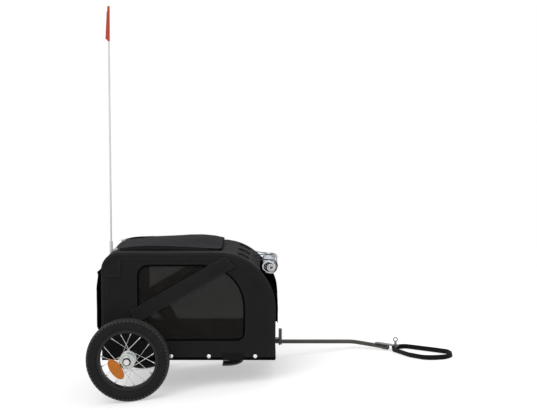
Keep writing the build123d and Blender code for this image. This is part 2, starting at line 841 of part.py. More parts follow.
# ---- Drawbar's stowing hook -------------------------------------------------------------
with BuildPart() as drawbar_hook:
    hook_curve_x = hook_length - hook_flat
    hook_curve_centre = (hook_rear_x + hook_flat, rail_low_z)
    with BuildSketch(right_plane(side_inner_y)):
        with Locations(hook_curve_centre):
            Ellipse(hook_curve_x, hook_drop)
        with Locations((hook_rear_x, hook_low_z)):
            Rectangle(hook_flat, hook_drop, align=(Align.MIN, Align.MIN))
        with Locations(hook_curve_centre):
            Ellipse(hook_curve_x - hook_t, hook_drop - hook_t, mode=Mode.SUBTRACT)
        with Locations((hook_rear_x, hook_low_z + hook_t)):
            Rectangle(hook_flat, hook_drop, align=(Align.MIN, Align.MIN), mode=Mode.SUBTRACT)
        kept = region(
            (hook_rear_x, hook_low_z - 1),
            (hook_front_x + 1, hook_low_z - 1),
            (hook_front_x + 1, rail_low_z),
            (hook_rear_x, rail_low_z),
        )
        add(kept, mode=Mode.INTERSECT)
    extrude(amount=-hook_depth)

# ---- Flag --------------------------------------------------------------------------------
with BuildPart() as flag_pole:
    with BuildSketch(Plane.XY.offset(flag_pole_low_z)):
        with Locations((flag_pole_x, flag_pole_y)):
            Circle(flag_pole_r)
    extrude(amount=flag_pole_length)

with BuildPart() as flag_socket:
    with BuildSketch(Plane.XY.offset(flag_socket_low_z)):
        with Locations((flag_pole_x, flag_pole_y)):
            Circle(flag_socket_r)
    extrude(amount=flag_socket_length)

    # Two sewn tabs hold the tube against the cabin's side.
    with BuildSketch(Plane.XZ.offset(-cabin_half_width - seat_gap)):
        tab_length = flag_pole_behind + flag_tab_lap
        for tab_drop in flag_tab_below_patch:
            with Locations((flag_pole_x, patch_corner[1] - tab_drop)):
                Rectangle(tab_length, flag_tab_height, align=(Align.MIN, Align.CENTER))
    extrude(amount=-cloth_t)
    with BuildSketch(Plane.XY.offset(flag_pole_low_z - seat_gap)):
        with Locations((flag_pole_x, flag_pole_y)):
            Circle(flag_pole_r + seat_gap)
    extrude(amount=flag_socket_length, mode=Mode.SUBTRACT)

with BuildPart() as flag:
    flag_start_y = flag_pole_y + flag_pole_r + seat_gap
    flag_top_z = flag_pole_high_z - flag_end_gap
    with BuildSketch(Plane.YZ.offset(flag_pole_x)):
        with BuildLine():
            Polyline(
                (flag_start_y, flag_top_z),
                (flag_start_y, flag_top_z - flag_height),
                (flag_start_y + flag_reach, flag_top_z - flag_tip_below),
                close=True,
            )
        make_face()
    extrude(amount=flag_t / 2, both=True)

# ---- Parked stance ------------------------------------------------------------------------
# The cap's lowest forward point comes down to the ground as the frame turns about the axle.
cap_end = along_bar(bar_inner_run + seat_gap + cap_end_t, bar_z - cap_r)
drop = wheel_r - cap_end.Z
tip_angle = asin(wheel_r / hypot(cap_end.X, drop)) - atan2(drop, cap_end.X)
ground = Plane(
    origin=(wheel_r * sin(tip_angle), 0, wheel_r - wheel_r * cos(tip_angle)),
    x_dir=(cos(tip_angle), 0, sin(tip_angle)),
    z_dir=(-sin(tip_angle), 0, cos(tip_angle)),
)

# ---- Hitch strap, a webbing loop round the pin that lies on the ground ---------------------
# Each corner of the loop: ahead of the pin, to its left, and the bend's radius.
loop_bend_r = pin_r + strap_slack
strap_corners = (
    (-loop_bend_r, loop_bend_r, loop_bend_r - 1),
    (38, 12, 40),
    (178, -168, 60),
    (190, -222, 30),
    (160, -250, 30),
    (96, -236, 90),
    (38, -150, 120),
    (-loop_bend_r, -22, 22),
)
pin_on_ground = ground.to_local_coords(along_bar(pin_at, pin_low_z))
with BuildPart() as hitch_strap:
    with BuildSketch(ground.offset(seat_gap)):
        with BuildLine():
            FilletPolyline(
                *[(pin_on_ground.X + ahead, pin_on_ground.Y + left) for ahead, left, bend in strap_corners],
                radius=[bend for ahead, left, bend in strap_corners],
                close=True,
            )
        strap_hole = make_face()
        offset(amount=strap_t)
        add(strap_hole, mode=Mode.SUBTRACT)
    extrude(amount=strap_width)

# ---- Hand over ------------------------------------------------------------------------------
pieces = {
    "base_rail_right": base_rail_right,
    "base_rail_left": base_rail_left,
    "base_cross_tubes": base_cross_tubes,
    "floor_board": floor_board,
    "hoop_right": hoop_right,
    "hoop_left": hoop_left,
    "roof_cross_tubes": roof_cross_tubes,
    "brace_right": brace_right,
    "brace_left": brace_left,
    "side_panel_right": side_panel_right,
    "side_panel_left": side_panel_left,
    "side_mesh_right": side_mesh_right,
    "side_mesh_left": side_mesh_left,
    "window_band_right": window_band_right,
    "window_band_left": window_band_left,
    "corner_patch_right": corner_patch_right,
    "corner_patch_left": corner_patch_left,
    "roof_panel": roof_panel,
    "roof_hatch": roof_hatch,
    "front_panel": front_panel,
    "front_door": front_door,
    "front_lower_panel": front_lower_panel,
    "rear_lower_panel": rear_lower_panel,
    "rear_door": rear_door,
    "rear_pocket": rear_pocket,
    "rain_cover": rain_cover,
    "roll_strap_right": roll_strap_right,
    "roll_strap_left": roll_strap_left,
    "axle_bracket_right": axle_bracket_right,
    "axle_bracket_left": axle_bracket_left,
    "axle_right": axle_right,
    "axle_left": axle_left,
    "hub_right": hub_right,
    "hub_left": hub_left,
    "rim_right": rim_right,
    "rim_left": rim_left,
    "tyre_right": tyre_right,
    "tyre_left": tyre_left,
    "spokes_right": spokes_right,
    "spokes_left": spokes_left,
    "wheel_reflector_right": wheel_reflector_right,
    "wheel_reflector_left": wheel_reflector_left,
    "drawbar": drawbar,
    "drawbar_cap": drawbar_cap,
    "drawbar_socket": drawbar_socket,
    "drawbar_bracket": drawbar_bracket,
    "drawbar_pin": drawbar_pin,
    "drawbar_hook": drawbar_hook,
    "hitch_plate": hitch_plate,
    "hitch_pin": hitch_pin,
    "hitch_strap": hitch_strap,
    "flag_pole": flag_pole,
    "flag_socket": flag_socket,
    "flag": flag,
}

parked = ground.location.inverse()
boxes = [piece.part.moved(parked).bounding_box() for piece in pieces.values()]
middle_x = (min(box.min.X for box in boxes) + max(box.max.X for box in boxes)) / 2
placement = Location((-middle_x, 0, 0)) * parked
os.makedirs("parts", exist_ok=True)
for name, piece in pieces.items():
    standing = piece.part.moved(placement)
    standing.label = name
    export_step(standing, f"parts/{name}.step")
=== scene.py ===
"""Dog bike trailer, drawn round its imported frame: cloth, wheels, drawbar and studio.

Sizes are millimetres in the cabin's own level frame: x ahead of the axle, y to the
trailer's left, z up from the ground. placed() turns that frame to the parked stance.
"""

import json
import math

import bmesh
import bpy
from mathutils import Matrix, Vector, noise
from mathutils.geometry import delaunay_2d_cdt


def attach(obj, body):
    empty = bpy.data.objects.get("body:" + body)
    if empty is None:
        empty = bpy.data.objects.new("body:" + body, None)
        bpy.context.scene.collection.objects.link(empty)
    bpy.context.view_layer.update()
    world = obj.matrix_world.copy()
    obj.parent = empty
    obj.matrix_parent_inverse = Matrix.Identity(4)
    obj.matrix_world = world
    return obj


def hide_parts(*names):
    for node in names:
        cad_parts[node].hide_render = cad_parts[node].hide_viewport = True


bl_info = {
    "name": "Dog bike trailer",
    "version": (1, 0, 0),
    "blender": (4, 5, 0),
    "location": "View3D > Sidebar > Trailer",
    "description": "Builds the cloth, wheels and fittings of a parked dog bike trailer",
    "category": "Add Mesh",
}

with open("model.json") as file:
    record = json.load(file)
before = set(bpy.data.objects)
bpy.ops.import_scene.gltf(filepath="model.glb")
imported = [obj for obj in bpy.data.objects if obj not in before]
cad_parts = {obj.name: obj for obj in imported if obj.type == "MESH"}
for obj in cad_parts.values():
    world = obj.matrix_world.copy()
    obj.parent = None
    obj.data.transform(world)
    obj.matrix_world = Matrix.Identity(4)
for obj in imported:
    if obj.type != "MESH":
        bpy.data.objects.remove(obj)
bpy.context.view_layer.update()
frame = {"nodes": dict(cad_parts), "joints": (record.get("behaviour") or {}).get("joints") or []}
NODES = frame["nodes"]

# ---- The level frame ----------------------------------------------------------------
WHEEL_R = 150.0
NOSE_DOWN = math.radians(6.65549)
AXLE = Vector(next(j["pos_m"] for j in frame["joints"] if j["name"] == "wheel_right_spin"))
PARKED = (
    Matrix.Translation(Vector((AXLE.x, 0, AXLE.z)))
    @ Matrix.Rotation(NOSE_DOWN, 4, "Y")
    @ Matrix.Translation(Vector((0, 0, -WHEEL_R / 1000)))
    @ Matrix.Scale(0.001, 4)
)
RIGHT = -1
LEFT = 1
SIDES = (("right", RIGHT), ("left", LEFT))

# The cabin's side outline
REAR_X = -101.0
BASE_Z = 136.0
TOP_Z = 528.0
REAR_R = 64.0
FRONT_R = 207.0
FRONT_LEAN = math.radians(0.5)
FRONT_FOOT_X = 528.0
FRONT_CENTRE = Vector((322.61, 321.0))
WHEEL_Y = 267.0


def placed(x, y, z):
    """A point of the level frame, in metres where the trailer stands."""
    return PARKED @ Vector((x, y, z))


# ---- Small tools ---------------------------------------------------------------------
def linear(colour):
    """An sRGB hex value as a linear colour with alpha."""
    parts = [int(colour[i:i + 2], 16) / 255 for i in (1, 3, 5)]
    return [v / 12.92 if v <= 0.04045 else ((v + 0.055) / 1.055) ** 2.4 for v in parts] + [1.0]


def node(tree, kind, inputs=None, **settings):
    """Adds a node with its settings, and its inputs as values or linked sockets."""
    made = tree.nodes.new(kind)
    for key, value in settings.items():
        setattr(made, key, value)
    for key, value in (inputs or {}).items():
        if isinstance(value, bpy.types.NodeSocket):
            tree.links.new(value, made.inputs[key])
        else:
            made.inputs[key].default_value = value
    return made


def ramp(made, *stops):
    """Sets a colour ramp's stops, each a place and a grey or a linear colour."""
    band = made.color_ramp
    while len(band.elements) < len(stops):
        band.elements.new(0.5)
    for element, (place, value) in zip(band.elements, stops):
        element.position = place
        element.color = value if isinstance(value, list) else (value, value, value, 1)
    return made.outputs["Color"]


def smooth(mesh, angle=38):
    """Smooth faces, with edges kept sharp past an angle."""
    mesh.polygons.foreach_set("use_smooth", [True] * len(mesh.polygons))
    mesh.set_sharp_from_angle(angle=math.radians(angle))


def shaped(name, verts, faces, material, uv=None, closed=True, level=True):
    """A mesh object at the origin. uv gives a point for each vertex."""
    mesh = bpy.data.meshes.new(name)
    mesh.from_pydata([PARKED @ Vector(v) if level else Vector(v) for v in verts], [], faces)
    if closed:
        shape = bmesh.new()
        shape.from_mesh(mesh)
        bmesh.ops.recalc_face_normals(shape, faces=shape.faces)
        shape.to_mesh(mesh)
        shape.free()
    if uv:
        layer = mesh.uv_layers.new(name="UVMap")
        for loop in mesh.loops:
            layer.data[loop.index].uv = uv[loop.vertex_index]
    mesh.materials.append(MADE[material])
    smooth(mesh)
    made = bpy.data.objects.new(name, mesh)
    bpy.context.collection.objects.link(made)
    return made


def seat(made, body, replaces=()):
    """Rides a piece on its body and the solids that it stands for."""
    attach(made, body)
    if replaces:
        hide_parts(*replaces)
    return made


def settle(made):
    """Turns an object's modifiers into plain mesh."""
    seen = made.evaluated_get(bpy.context.evaluated_depsgraph_get())
    mesh = bpy.data.meshes.new_from_object(seen)
    mesh.name = made.name
    made.modifiers.clear()
    made.data = mesh
    return made


def thicken(made, thickness, angle=None, offset=0):
    """Gives a sheet its thickness in millimetres, and smooth faces up to an angle."""
    wall = made.modifiers.new("wall", "SOLIDIFY")
    wall.thickness = thickness / 1000
    wall.offset = offset
    settle(made)
    if angle:
        smooth(made.data, angle)
    return made


def grid_faces(rows, across):
    """Faces over rows of points, with this many points across each."""
    faces = []
    for row in range(rows - 1):
        for a in range(row * across, (row + 1) * across - 1):
            faces.append((a, a + 1, a + across + 1, a + across))
    return faces


def inside(point, loop):
    """Whether a flat point lies within a loop of points."""
    x, y = point
    hit = False
    before = loop[-1]
    for here in loop:
        if (here[1] > y) != (before[1] > y):
            if x < (before[0] - here[0]) * (y - here[1]) / (before[1] - here[1]) + here[0]:
                hit = not hit
        before = here
    return hit


def divided(loop, spacing, closed=True):
    """The loop's points with more between them, no further apart than spacing."""
    out = []
    count = len(loop) if closed else len(loop) - 1
    for i in range(count):
        a, b = Vector(loop[i]), Vector(loop[(i + 1) % len(loop)])
        steps = max(1, math.ceil((b - a).length / spacing))
        out += [tuple(a.lerp(b, k / steps)) for k in range(steps)]
    if not closed:
        out.append(tuple(loop[-1]))
    return out


def flat_mesh(outline, holes, spacing):
    """Triangles that fill an outline and leave its holes open, with even points between."""
    loops = [divided(loop, spacing) for loop in (outline, *holes)]
    points = [Vector(p) for loop in loops for p in loop]
    edges = []
    start = 0
    for loop in loops:
        edges += [(start + i, start + (i + 1) % len(loop)) for i in range(len(loop))]
        start += len(loop)
    low = Vector((min(p[0] for p in loops[0]), min(p[1] for p in loops[0])))
    high = Vector((max(p[0] for p in loops[0]), max(p[1] for p in loops[0])))
    buckets = {}
    for p in points:
        buckets.setdefault((int(p.x // spacing), int(p.y // spacing)), []).append(p)
    row = 0
    v = low.y + spacing / 2
    while v < high.y:
        u = low.x + spacing * (0.5 if row % 2 else 1.0)
        while u < high.x:
            cell = (int(u // spacing), int(v // spacing))
            around = [(cell[0] + i, cell[1] + j) for i in (-1, 0, 1) for j in (-1, 0, 1)]
            near = [q for key in around for q in buckets.get(key, ())]
            if all((q - Vector((u, v))).length > 0.55 * spacing for q in near):
                if inside((u, v), loops[0]) and not any(inside((u, v), hole) for hole in loops[1:]):
                    points.append(Vector((u, v)))
            u += spacing
        v += spacing * 0.866
        row += 1
    found = delaunay_2d_cdt(points, edges, [], 0, 1e-4)
    verts, faces = found[0], found[2]
    kept = []
    for face in faces:
        middle = sum((verts[i] for i in face), Vector((0, 0))) / len(face)
        if inside(middle, loops[0]) and not any(inside(middle, hole) for hole in loops[1:]):
            kept.append(tuple(face))
    return [tuple(v) for v in verts], kept


def cloth_piece(name, outline, holes, shape, thickness, material, spacing=8.0):
    """A cloth cut flat to an outline, laid where shape says, and given its thickness."""
    flat, faces = flat_mesh(outline, holes, spacing)
    verts = [shape(u, v) for u, v in flat]
    uv = [(u / 1000, v / 1000) for u, v in flat]
    return thicken(shaped(name, verts, faces, material, uv, closed=False), thickness, 50)


def declared(made):
    """Hands back a cloth piece unchanged."""
    return made


def rounded(corners, radii, steps=6):
    """A polygon's corners rounded by arcs."""
    out = []
    for i, corner in enumerate(corners):
        here = Vector(corner)
        back = (Vector(corners[i - 1]) - here).normalized()
        ahead = (Vector(corners[(i + 1) % len(corners)]) - here).normalized()
        half = math.acos(max(-1, min(1, back.dot(ahead)))) / 2
        reach = radii[i] / math.tan(half)
        centre = here + (back + ahead).normalized() * radii[i] / math.sin(half)
        start = here + back * reach - centre
        end = here + ahead * reach - centre
        turn = start.angle_signed(end)
        for k in range(steps + 1):
            spoke = start.copy()
            spoke.rotate(Matrix.Rotation(-turn * k / steps, 2))
            out.append(tuple(centre + spoke))
    return out


def oval(half_wide, half_high, sides=10, power=1.0):
    """A flat ring of points: round or, with a power below 1, nearer a rectangle."""
    ring = []
    for k in range(sides):
        turn = 2 * math.pi * (k + 0.5) / sides
        a, b = math.cos(turn), math.sin(turn)
        ring.append((
            math.copysign(abs(a) ** power, a) * half_wide, math.copysign(abs(b) ** power, b) * half_high))
    return ring


def swept(points, ring, closed=False, up=None):
    """A ring of points swept along a line: its vertices, faces and map.

    The ring's second direction follows up where it is given."""
    points = [Vector(p) for p in points]
    count = len(points)
    sides = len(ring)
    verts, faces, uv = [], [], []
    normal = None
    run = 0.0
    for i, p in enumerate(points):
        if closed:
            along = (points[(i + 1) % count] - points[i - 1]).normalized()
        else:
            along = (points[min(i + 1, count - 1)] - points[max(i - 1, 0)]).normalized()
        if up is not None:
            normal = Vector(up) - along * along.dot(Vector(up))
        elif normal is None:
            normal = along.orthogonal()
        else:
            normal = normal - along * along.dot(normal)
        normal.normalize()
        other = along.cross(normal)
        verts += [p + other * a + normal * b for a, b in ring]
        if i:
            run += (p - points[i - 1]).length
        reach = 0.0
        for k in range(sides):
            uv.append((run / 1000, reach / 1000))
            reach += (Vector(ring[(k + 1) % sides]) - Vector(ring[k])).length
    rings = count if closed else count - 1
    for i in range(rings):
        a, b = i * sides, (i + 1) % count * sides
        for k in range(sides):
            m = (k + 1) % sides
            faces.append((a + k, a + m, b + m, b + k))
    if not closed:
        faces.append(tuple(range(sides))[::-1])
        faces.append(tuple((count - 1) * sides + k for k in range(sides)))
    return verts, faces, uv


def taped(name, line, ring, up, material="binding tape", body="trailer",
          closed=False):
    """A tape, a hem or a sleeve: a ring of points swept along a line, riding on its body."""
    verts, faces, uv = swept(line, ring, closed=closed, up=up)
    return seat(shaped(name, verts, faces, material, uv), body)


def spun(profile, segments, centre_y):
    """A profile of (distance out from the wheel's middle, radius) spun about the axle."""
    verts, faces = [], []
    count = len(profile)
    for i in range(segments):
        turn = 2 * math.pi * i / segments
        verts += [(r * math.cos(turn), centre_y + out, WHEEL_R + r * math.sin(turn)) for out, r in profile]
    for i in range(segments):
        a, b = i * count, (i + 1) % segments * count
        for k in range(count):
            m = (k + 1) % count
            faces.append((a + k, a + m, b + m, b + k))
    return verts, faces


def joined(parts):
    """Several parts' vertices, faces and maps as one."""
    verts, faces, uv = [], [], []
    for part in parts:
        start = len(verts)
        verts += [tuple(v) for v in part[0]]
        faces += [tuple(i + start for i in face) for face in part[1]]
        uv += part[2] if len(part) > 2 else [(v[0] / 1000, v[2] / 1000) for v in part[0]]
    return verts, faces, uv


# ---- The cabin's outline -------------------------------------------------------------
def outline_line():
    """The cabin's side outline from its rear foot over the roof to its front foot."""
    line = [(REAR_X, BASE_Z), (REAR_X, TOP_Z - REAR_R)]
    for k in range(1, 13):
        turn = math.pi - math.pi / 2 * k / 12
        line.append((REAR_X + REAR_R + REAR_R * math.cos(turn), TOP_Z - REAR_R + REAR_R * math.sin(turn)))
    for k in range(0, 41):
        turn = math.pi / 2 - (math.pi / 2 + FRONT_LEAN) * k / 40
        line.append((FRONT_CENTRE.x + FRONT_R * math.cos(turn), FRONT_CENTRE.y + FRONT_R * math.sin(turn)))
    line.append((FRONT_FOOT_X, BASE_Z))
    return [Vector(p) for p in line]


OUTLINE = outline_line()
RUNS = [0.0]
for start, end in zip(OUTLINE, OUTLINE[1:]):
    RUNS.append(RUNS[-1] + (end - start).length)


def on_outline(run):
    """The point and the outward direction at a distance along the outline."""
    run = max(0.0, min(RUNS[-1], run))
    k = 0
    while k < len(RUNS) - 2 and RUNS[k + 1] < run:
        k += 1
    share = (run - RUNS[k]) / (RUNS[k + 1] - RUNS[k])
    point = OUTLINE[k].lerp(OUTLINE[k + 1], share)

    def facing(i):
        """The outward direction at one of the outline's points."""
        i = max(0, min(len(OUTLINE) - 1, i))
        step = OUTLINE[min(i + 1, len(OUTLINE) - 1)] - OUTLINE[max(i - 1, 0)]
        return Vector((-step.y, step.x)).normalized()

    straight = RUNS[k + 1] - RUNS[k] > 60
    if straight:
        step = OUTLINE[k + 1] - OUTLINE[k]
        out = Vector((-step.y, step.x)).normalized()
    else:
        out = facing(k).lerp(facing(k + 1), share).normalized()
    return point, out


def run_at_height(z, front):
    """How far along the outline its front or rear edge is at a height."""
    if not front:
        if z <= TOP_Z - REAR_R:
            return z - BASE_Z
        angle = math.asin((z - TOP_Z + REAR_R) / REAR_R)
        return TOP_Z - REAR_R - BASE_Z + REAR_R * angle
    low, high = RUNS[16], RUNS[-1]
    for _ in range(40):
        middle = (low + high) / 2
        if on_outline(middle)[0].y > z:
            low = middle
        else:
            high = middle
    return low


def run_at_x(x):
    """How far along the outline the roof is at a distance ahead of the axle."""
    low, high = RUNS[3], RUNS[-2]
    for _ in range(40):
        middle = (low + high) / 2
        if on_outline(middle)[0].x < x:
            low = middle
        else:
            high = middle
    return low


def front_run(angle):
    """How far along the outline the rounded front stands at an angle above level."""
    return run_at_height(FRONT_CENTRE.y + FRONT_R * math.sin(math.radians(angle)), True)


def skin(run, y, out):
    """A point beside the outline, out from the cabin's skin."""
    point, facing = on_outline(run)
    return (point.x + facing.x * out, y, point.y + facing.y * out)


def soft_noise(x, y, z=0.0, size=60.0):
    """Smooth unevenness from -1 to 1 at a size in millimetres."""
    return noise.noise(Vector((x / size, y / size, z)))


def fade(value, low, high):
    """0 below low and 1 above high, smooth between."""
    share = max(0.0, min(1.0, (value - low) / (high - low)))
    return share * share * (3 - 2 * share)


def edge_distance(x, z):
    """How far inside the cabin's outline a point of its side lies, the foot left out."""
    reach = min(x - REAR_X, FRONT_FOOT_X + (z - BASE_Z) * math.tan(FRONT_LEAN) - x, TOP_Z - z)
    centre = Vector((REAR_X + REAR_R, TOP_Z - REAR_R))
    if x < centre.x and z > centre.y:
        reach = min(reach, REAR_R - (Vector((x, z)) - centre).length)
    if x > FRONT_CENTRE.x and z > FRONT_CENTRE.y:
        reach = min(reach, FRONT_R - (Vector((x, z)) - FRONT_CENTRE).length)
    return reach


# Folds in the side cloth: from and to points, half width and height.
SIDE_FOLDS = (
    ((384, 488), (418, 458), 6.0, 2.0),
    ((398, 498), (452, 478), 7.0, 1.6),
    ((430, 448), (470, 412), 7.0, 2.2),
    ((446, 392), (492, 372), 8.0, 1.5),
    ((20, 470), (88, 516), 9.0, 1.6),
    ((60, 486), (128, 520), 8.0, 1.2),
    ((196, 168), (330, 182), 9.0, 1.0),
    ((-70, 250), (-10, 300), 11.0, 1.3),
    ((-60, 380), (-8, 340), 10.0, 1.0),
    ((436, 230), (500, 300), 12.0, 1.3),
    ((440, 180), (508, 168), 9.0, 1.0),
)


def side_depth(x, z):
    """How far the side cloth stands out from its flat plane."""
    reach = edge_distance(x, z)
    taut = fade(reach, 16, 60) * fade(z, BASE_Z, BASE_Z + 50)
    depth = -2.4 * taut + 1.1 * taut * soft_noise(x, z, 0.3, 90) + 0.35 * soft_noise(x, z, 2.0, 24)
    for start, end, half, height in SIDE_FOLDS:
        a, b = Vector(start), Vector(end)
        share = max(0.0, min(1.0, (Vector((x, z)) - a).dot(b - a) / (b - a).length_squared))
        away = (Vector((x, z)) - a.lerp(b, share)).length
        if away < 3 * half:
            taper = math.sin(math.pi * min(max(share, 0.12), 0.88))
            depth += height * math.exp(-((away / half) ** 2)) * taper
    return depth


def window_loop(grow):
    """The window's outline on the cabin's side, grown by a margin."""
    low, high = 212 - grow, 479 + grow
    rear, front = 35 - grow, 412 + grow
    lean = (high - low) * math.tan(FRONT_LEAN)
    corners = [(rear, low), (rear, high), (front + lean, high), (front, low)]
    return rounded(corners, [25 + grow, 35 + grow, 150 + grow, 25 + grow], 14)


# ---- Materials -----------------------------------------------------------------------
MADE = {}


def start_material(name):
    """A material's empty tree, its surface shader and its output."""
    made = bpy.data.materials.new(name)
    made.use_nodes = True
    tree = made.node_tree
    tree.nodes.clear()
    shader = node(tree, "ShaderNodeBsdfPrincipled")
    node(tree, "ShaderNodeOutputMaterial", {"Surface": shader.outputs["BSDF"]})
    MADE[name] = made
    return made, tree, shader


def show(tree, shader):
    """Makes a shader the material's surface, in place of the plain one."""
    output = next(n for n in tree.nodes if n.type == "OUTPUT_MATERIAL")
    tree.links.new(shader.outputs["Shader"], output.inputs["Surface"])


def mixed(tree, colour, share, factor):
    """A colour that moves between darker and lighter by a share, as a factor goes 0 to 1."""
    base = linear(colour)
    dark = [v * (1 - share) for v in base[:3]] + [1.0]
    light = [min(1, v * (1 + share)) for v in base[:3]] + [1.0]
    stops = node(tree, "ShaderNodeValToRGB", {"Fac": factor})
    return ramp(stops, (0.3, dark), (0.7, light))


def surface(name, colour, roughness, metallic=0.0, grain=2.0, bump=0.15, share=0.12, coat=0.0,
            patch=35.0, gloss=0.5):
    """A solid surface: fine grain in millimetres for the bump, broad patches for its colour."""
    made, tree, shader = start_material(name)
    place = node(tree, "ShaderNodeTexCoord").outputs["Object"]
    broad = node(tree, "ShaderNodeTexNoise", {"Vector": place, "Scale": 1000 / patch, "Detail": 3.0})
    fine = node(tree, "ShaderNodeTexNoise", {"Vector": place, "Scale": 1000 / grain, "Detail": 2.0})
    tree.links.new(mixed(tree, colour, share, broad.outputs["Fac"]), shader.inputs["Base Color"])
    rough = node(tree, "ShaderNodeMapRange", {
        "Value": fine.outputs["Fac"], "To Min": roughness * 0.85, "To Max": min(1.0, roughness * 1.15)})
    tree.links.new(rough.outputs["Result"], shader.inputs["Roughness"])
    raised = node(tree, "ShaderNodeBump", {
        "Strength": bump, "Distance": grain / 4000, "Height": fine.outputs["Fac"]})
    tree.links.new(raised.outputs["Normal"], shader.inputs["Normal"])
    shader.inputs["Metallic"].default_value = metallic
    if not metallic:
        shader.inputs["Specular IOR Level"].default_value = gloss
    if coat:
        shader.inputs["Coat Weight"].default_value = coat
        shader.inputs["Coat Roughness"].default_value = 0.12
    return made


def woven(name, colour, roughness=0.78, thread=1.6, bump=0.25, share=0.14, sheen=0.04, crease=0.0,
          slant=0.0, gloss=0.12):
    """A woven cloth on the piece's own map: threads both ways, uneven dye, and faint creases."""
    made, tree, shader = start_material(name)
    place = node(tree, "ShaderNodeUVMap", uv_map="UVMap").outputs["UV"]
    turned = node(tree, "ShaderNodeMapping", {"Vector": place, "Rotation": (0, 0, slant)}).outputs["Vector"]
    threads = {"Vector": turned, "Scale": 1000 / thread / 20, "Distortion": 0.3, "Detail": 1.0}
    warp = node(tree, "ShaderNodeTexWave", threads, wave_type="BANDS", bands_direction="X")
    weft = node(tree, "ShaderNodeTexWave", threads, wave_type="BANDS", bands_direction="Y")
    weave = node(tree, "ShaderNodeMath", {
        0: warp.outputs["Fac"], 1: weft.outputs["Fac"]}, operation="MULTIPLY")
    broad = node(tree, "ShaderNodeTexNoise", {
        "Vector": place, "Scale": 14.0, "Detail": 4.0, "Roughness": 0.6})
    fold = node(tree, "ShaderNodeTexNoise", {
        "Vector": place, "Scale": 9.0, "Detail": 2.0, "Distortion": 0.8}, noise_type="RIDGED_MULTIFRACTAL")
    blend = node(tree, "ShaderNodeMix", {
        "Factor": 0.25, 2: broad.outputs["Fac"], 3: weave.outputs["Value"]}, data_type="FLOAT")
    tree.links.new(mixed(tree, colour, share, blend.outputs[0]), shader.inputs["Base Color"])
    low = node(tree, "ShaderNodeBump", {"Strength": crease, "Distance": 0.002, "Height": fold.outputs["Fac"]})
    raised = node(tree, "ShaderNodeBump", {
        "Strength": bump, "Distance": thread / 4000, "Height": weave.outputs["Value"],
        "Normal": low.outputs["Normal"]})
    tree.links.new(raised.outputs["Normal"], shader.inputs["Normal"])
    shader.inputs["Roughness"].default_value = roughness
    shader.inputs["Sheen Weight"].default_value = sheen
    shader.inputs["Sheen Roughness"].default_value = 0.45
    shader.inputs["IOR"].default_value = 1.45
    shader.inputs["Specular IOR Level"].default_value = gloss
    return made


def net(name, colour, open_share):
    """A fine knitted net: part of the light goes straight through between its threads.

    The real holes are 0.8 mm, too fine to show, so they are drawn at 3 mm. The cloth has two faces,
    so each lets the square root of the share through."""
    made, tree, shader = start_material(name)
    place = node(tree, "ShaderNodeUVMap", uv_map="UVMap").outputs["UV"]
    holes = node(tree, "ShaderNodeTexVoronoi", {"Vector": place, "Scale": 1000 / 3.0, "Randomness": 0.25})
    clear = node(tree, "ShaderNodeBsdfTransparent")
    join = node(tree, "ShaderNodeMixShader", {
        0: math.sqrt(open_share), 1: shader.outputs["BSDF"], 2: clear.outputs["BSDF"]})
    show(tree, join)
    broad = node(tree, "ShaderNodeTexNoise", {"Vector": place, "Scale": 20.0, "Detail": 3.0})
    blend = node(tree, "ShaderNodeMix", {
        "Factor": 0.3, 2: broad.outputs["Fac"], 3: holes.outputs["Distance"]}, data_type="FLOAT")
    tree.links.new(mixed(tree, colour, 0.2, blend.outputs[0]), shader.inputs["Base Color"])
    shader.inputs["Roughness"].default_value = 0.9
    shader.inputs["Specular IOR Level"].default_value = 0.02
    return made


def band_cloth(name, colour):
    """The window band's cloth: uncoated, so that some light comes through it from behind."""
    made = woven(name, colour, crease=0.2)
    tree = made.node_tree
    shader = next(n for n in tree.nodes if n.type == "BSDF_PRINCIPLED")
    glow = node(tree, "ShaderNodeBsdfTranslucent", {"Color": (0.43, 0.425, 0.41, 1)})
    join = node(tree, "ShaderNodeMixShader", {
        0: 0.5, 1: shader.outputs["BSDF"], 2: glow.outputs["BSDF"]})
    show(tree, join)
    return made


def clear_film(name):
    """Clear soft vinyl: glossy, and whitish where it lies in layers."""
    made, tree, shader = start_material(name)
    place = node(tree, "ShaderNodeTexCoord").outputs["Object"]
    broad = node(tree, "ShaderNodeTexNoise", {
        "Vector": place, "Scale": 45.0, "Detail": 3.0, "Distortion": 1.0})
    along = node(tree, "ShaderNodeUVMap", uv_map="UVMap").outputs["UV"]
    run = node(tree, "ShaderNodeSeparateXYZ", {"Vector": along})
    layers = node(tree, "ShaderNodeMapRange", {
        "Value": run.outputs["X"], "From Min": 0.085, "From Max": 0.115, "To Min": 0.0, "To Max": 1.0})
    cloud = node(tree, "ShaderNodeMapRange", {
        "Value": broad.outputs["Fac"], "From Min": 0.35, "From Max": 0.7, "To Min": 0.82, "To Max": 0.98})
    haze = node(tree, "ShaderNodeMath", {
        0: layers.outputs["Result"], 1: cloud.outputs["Result"]}, operation="MULTIPLY")
    clear = node(tree, "ShaderNodeBsdfTransparent", {"Color": (0.93, 0.94, 0.96, 1)})
    join = node(tree, "ShaderNodeMixShader", {
        0: haze.outputs["Value"], 1: clear.outputs["BSDF"], 2: shader.outputs["BSDF"]})
    show(tree, join)
    raised = node(tree, "ShaderNodeBump", {
        "Strength": 0.5, "Distance": 0.002, "Height": broad.outputs["Fac"]})
    tree.links.new(raised.outputs["Normal"], shader.inputs["Normal"])
    shader.inputs["Base Color"].default_value = linear("#F8F9FA")
    shader.inputs["Roughness"].default_value = 0.3
    shader.inputs["IOR"].default_value = 1.53
    return made


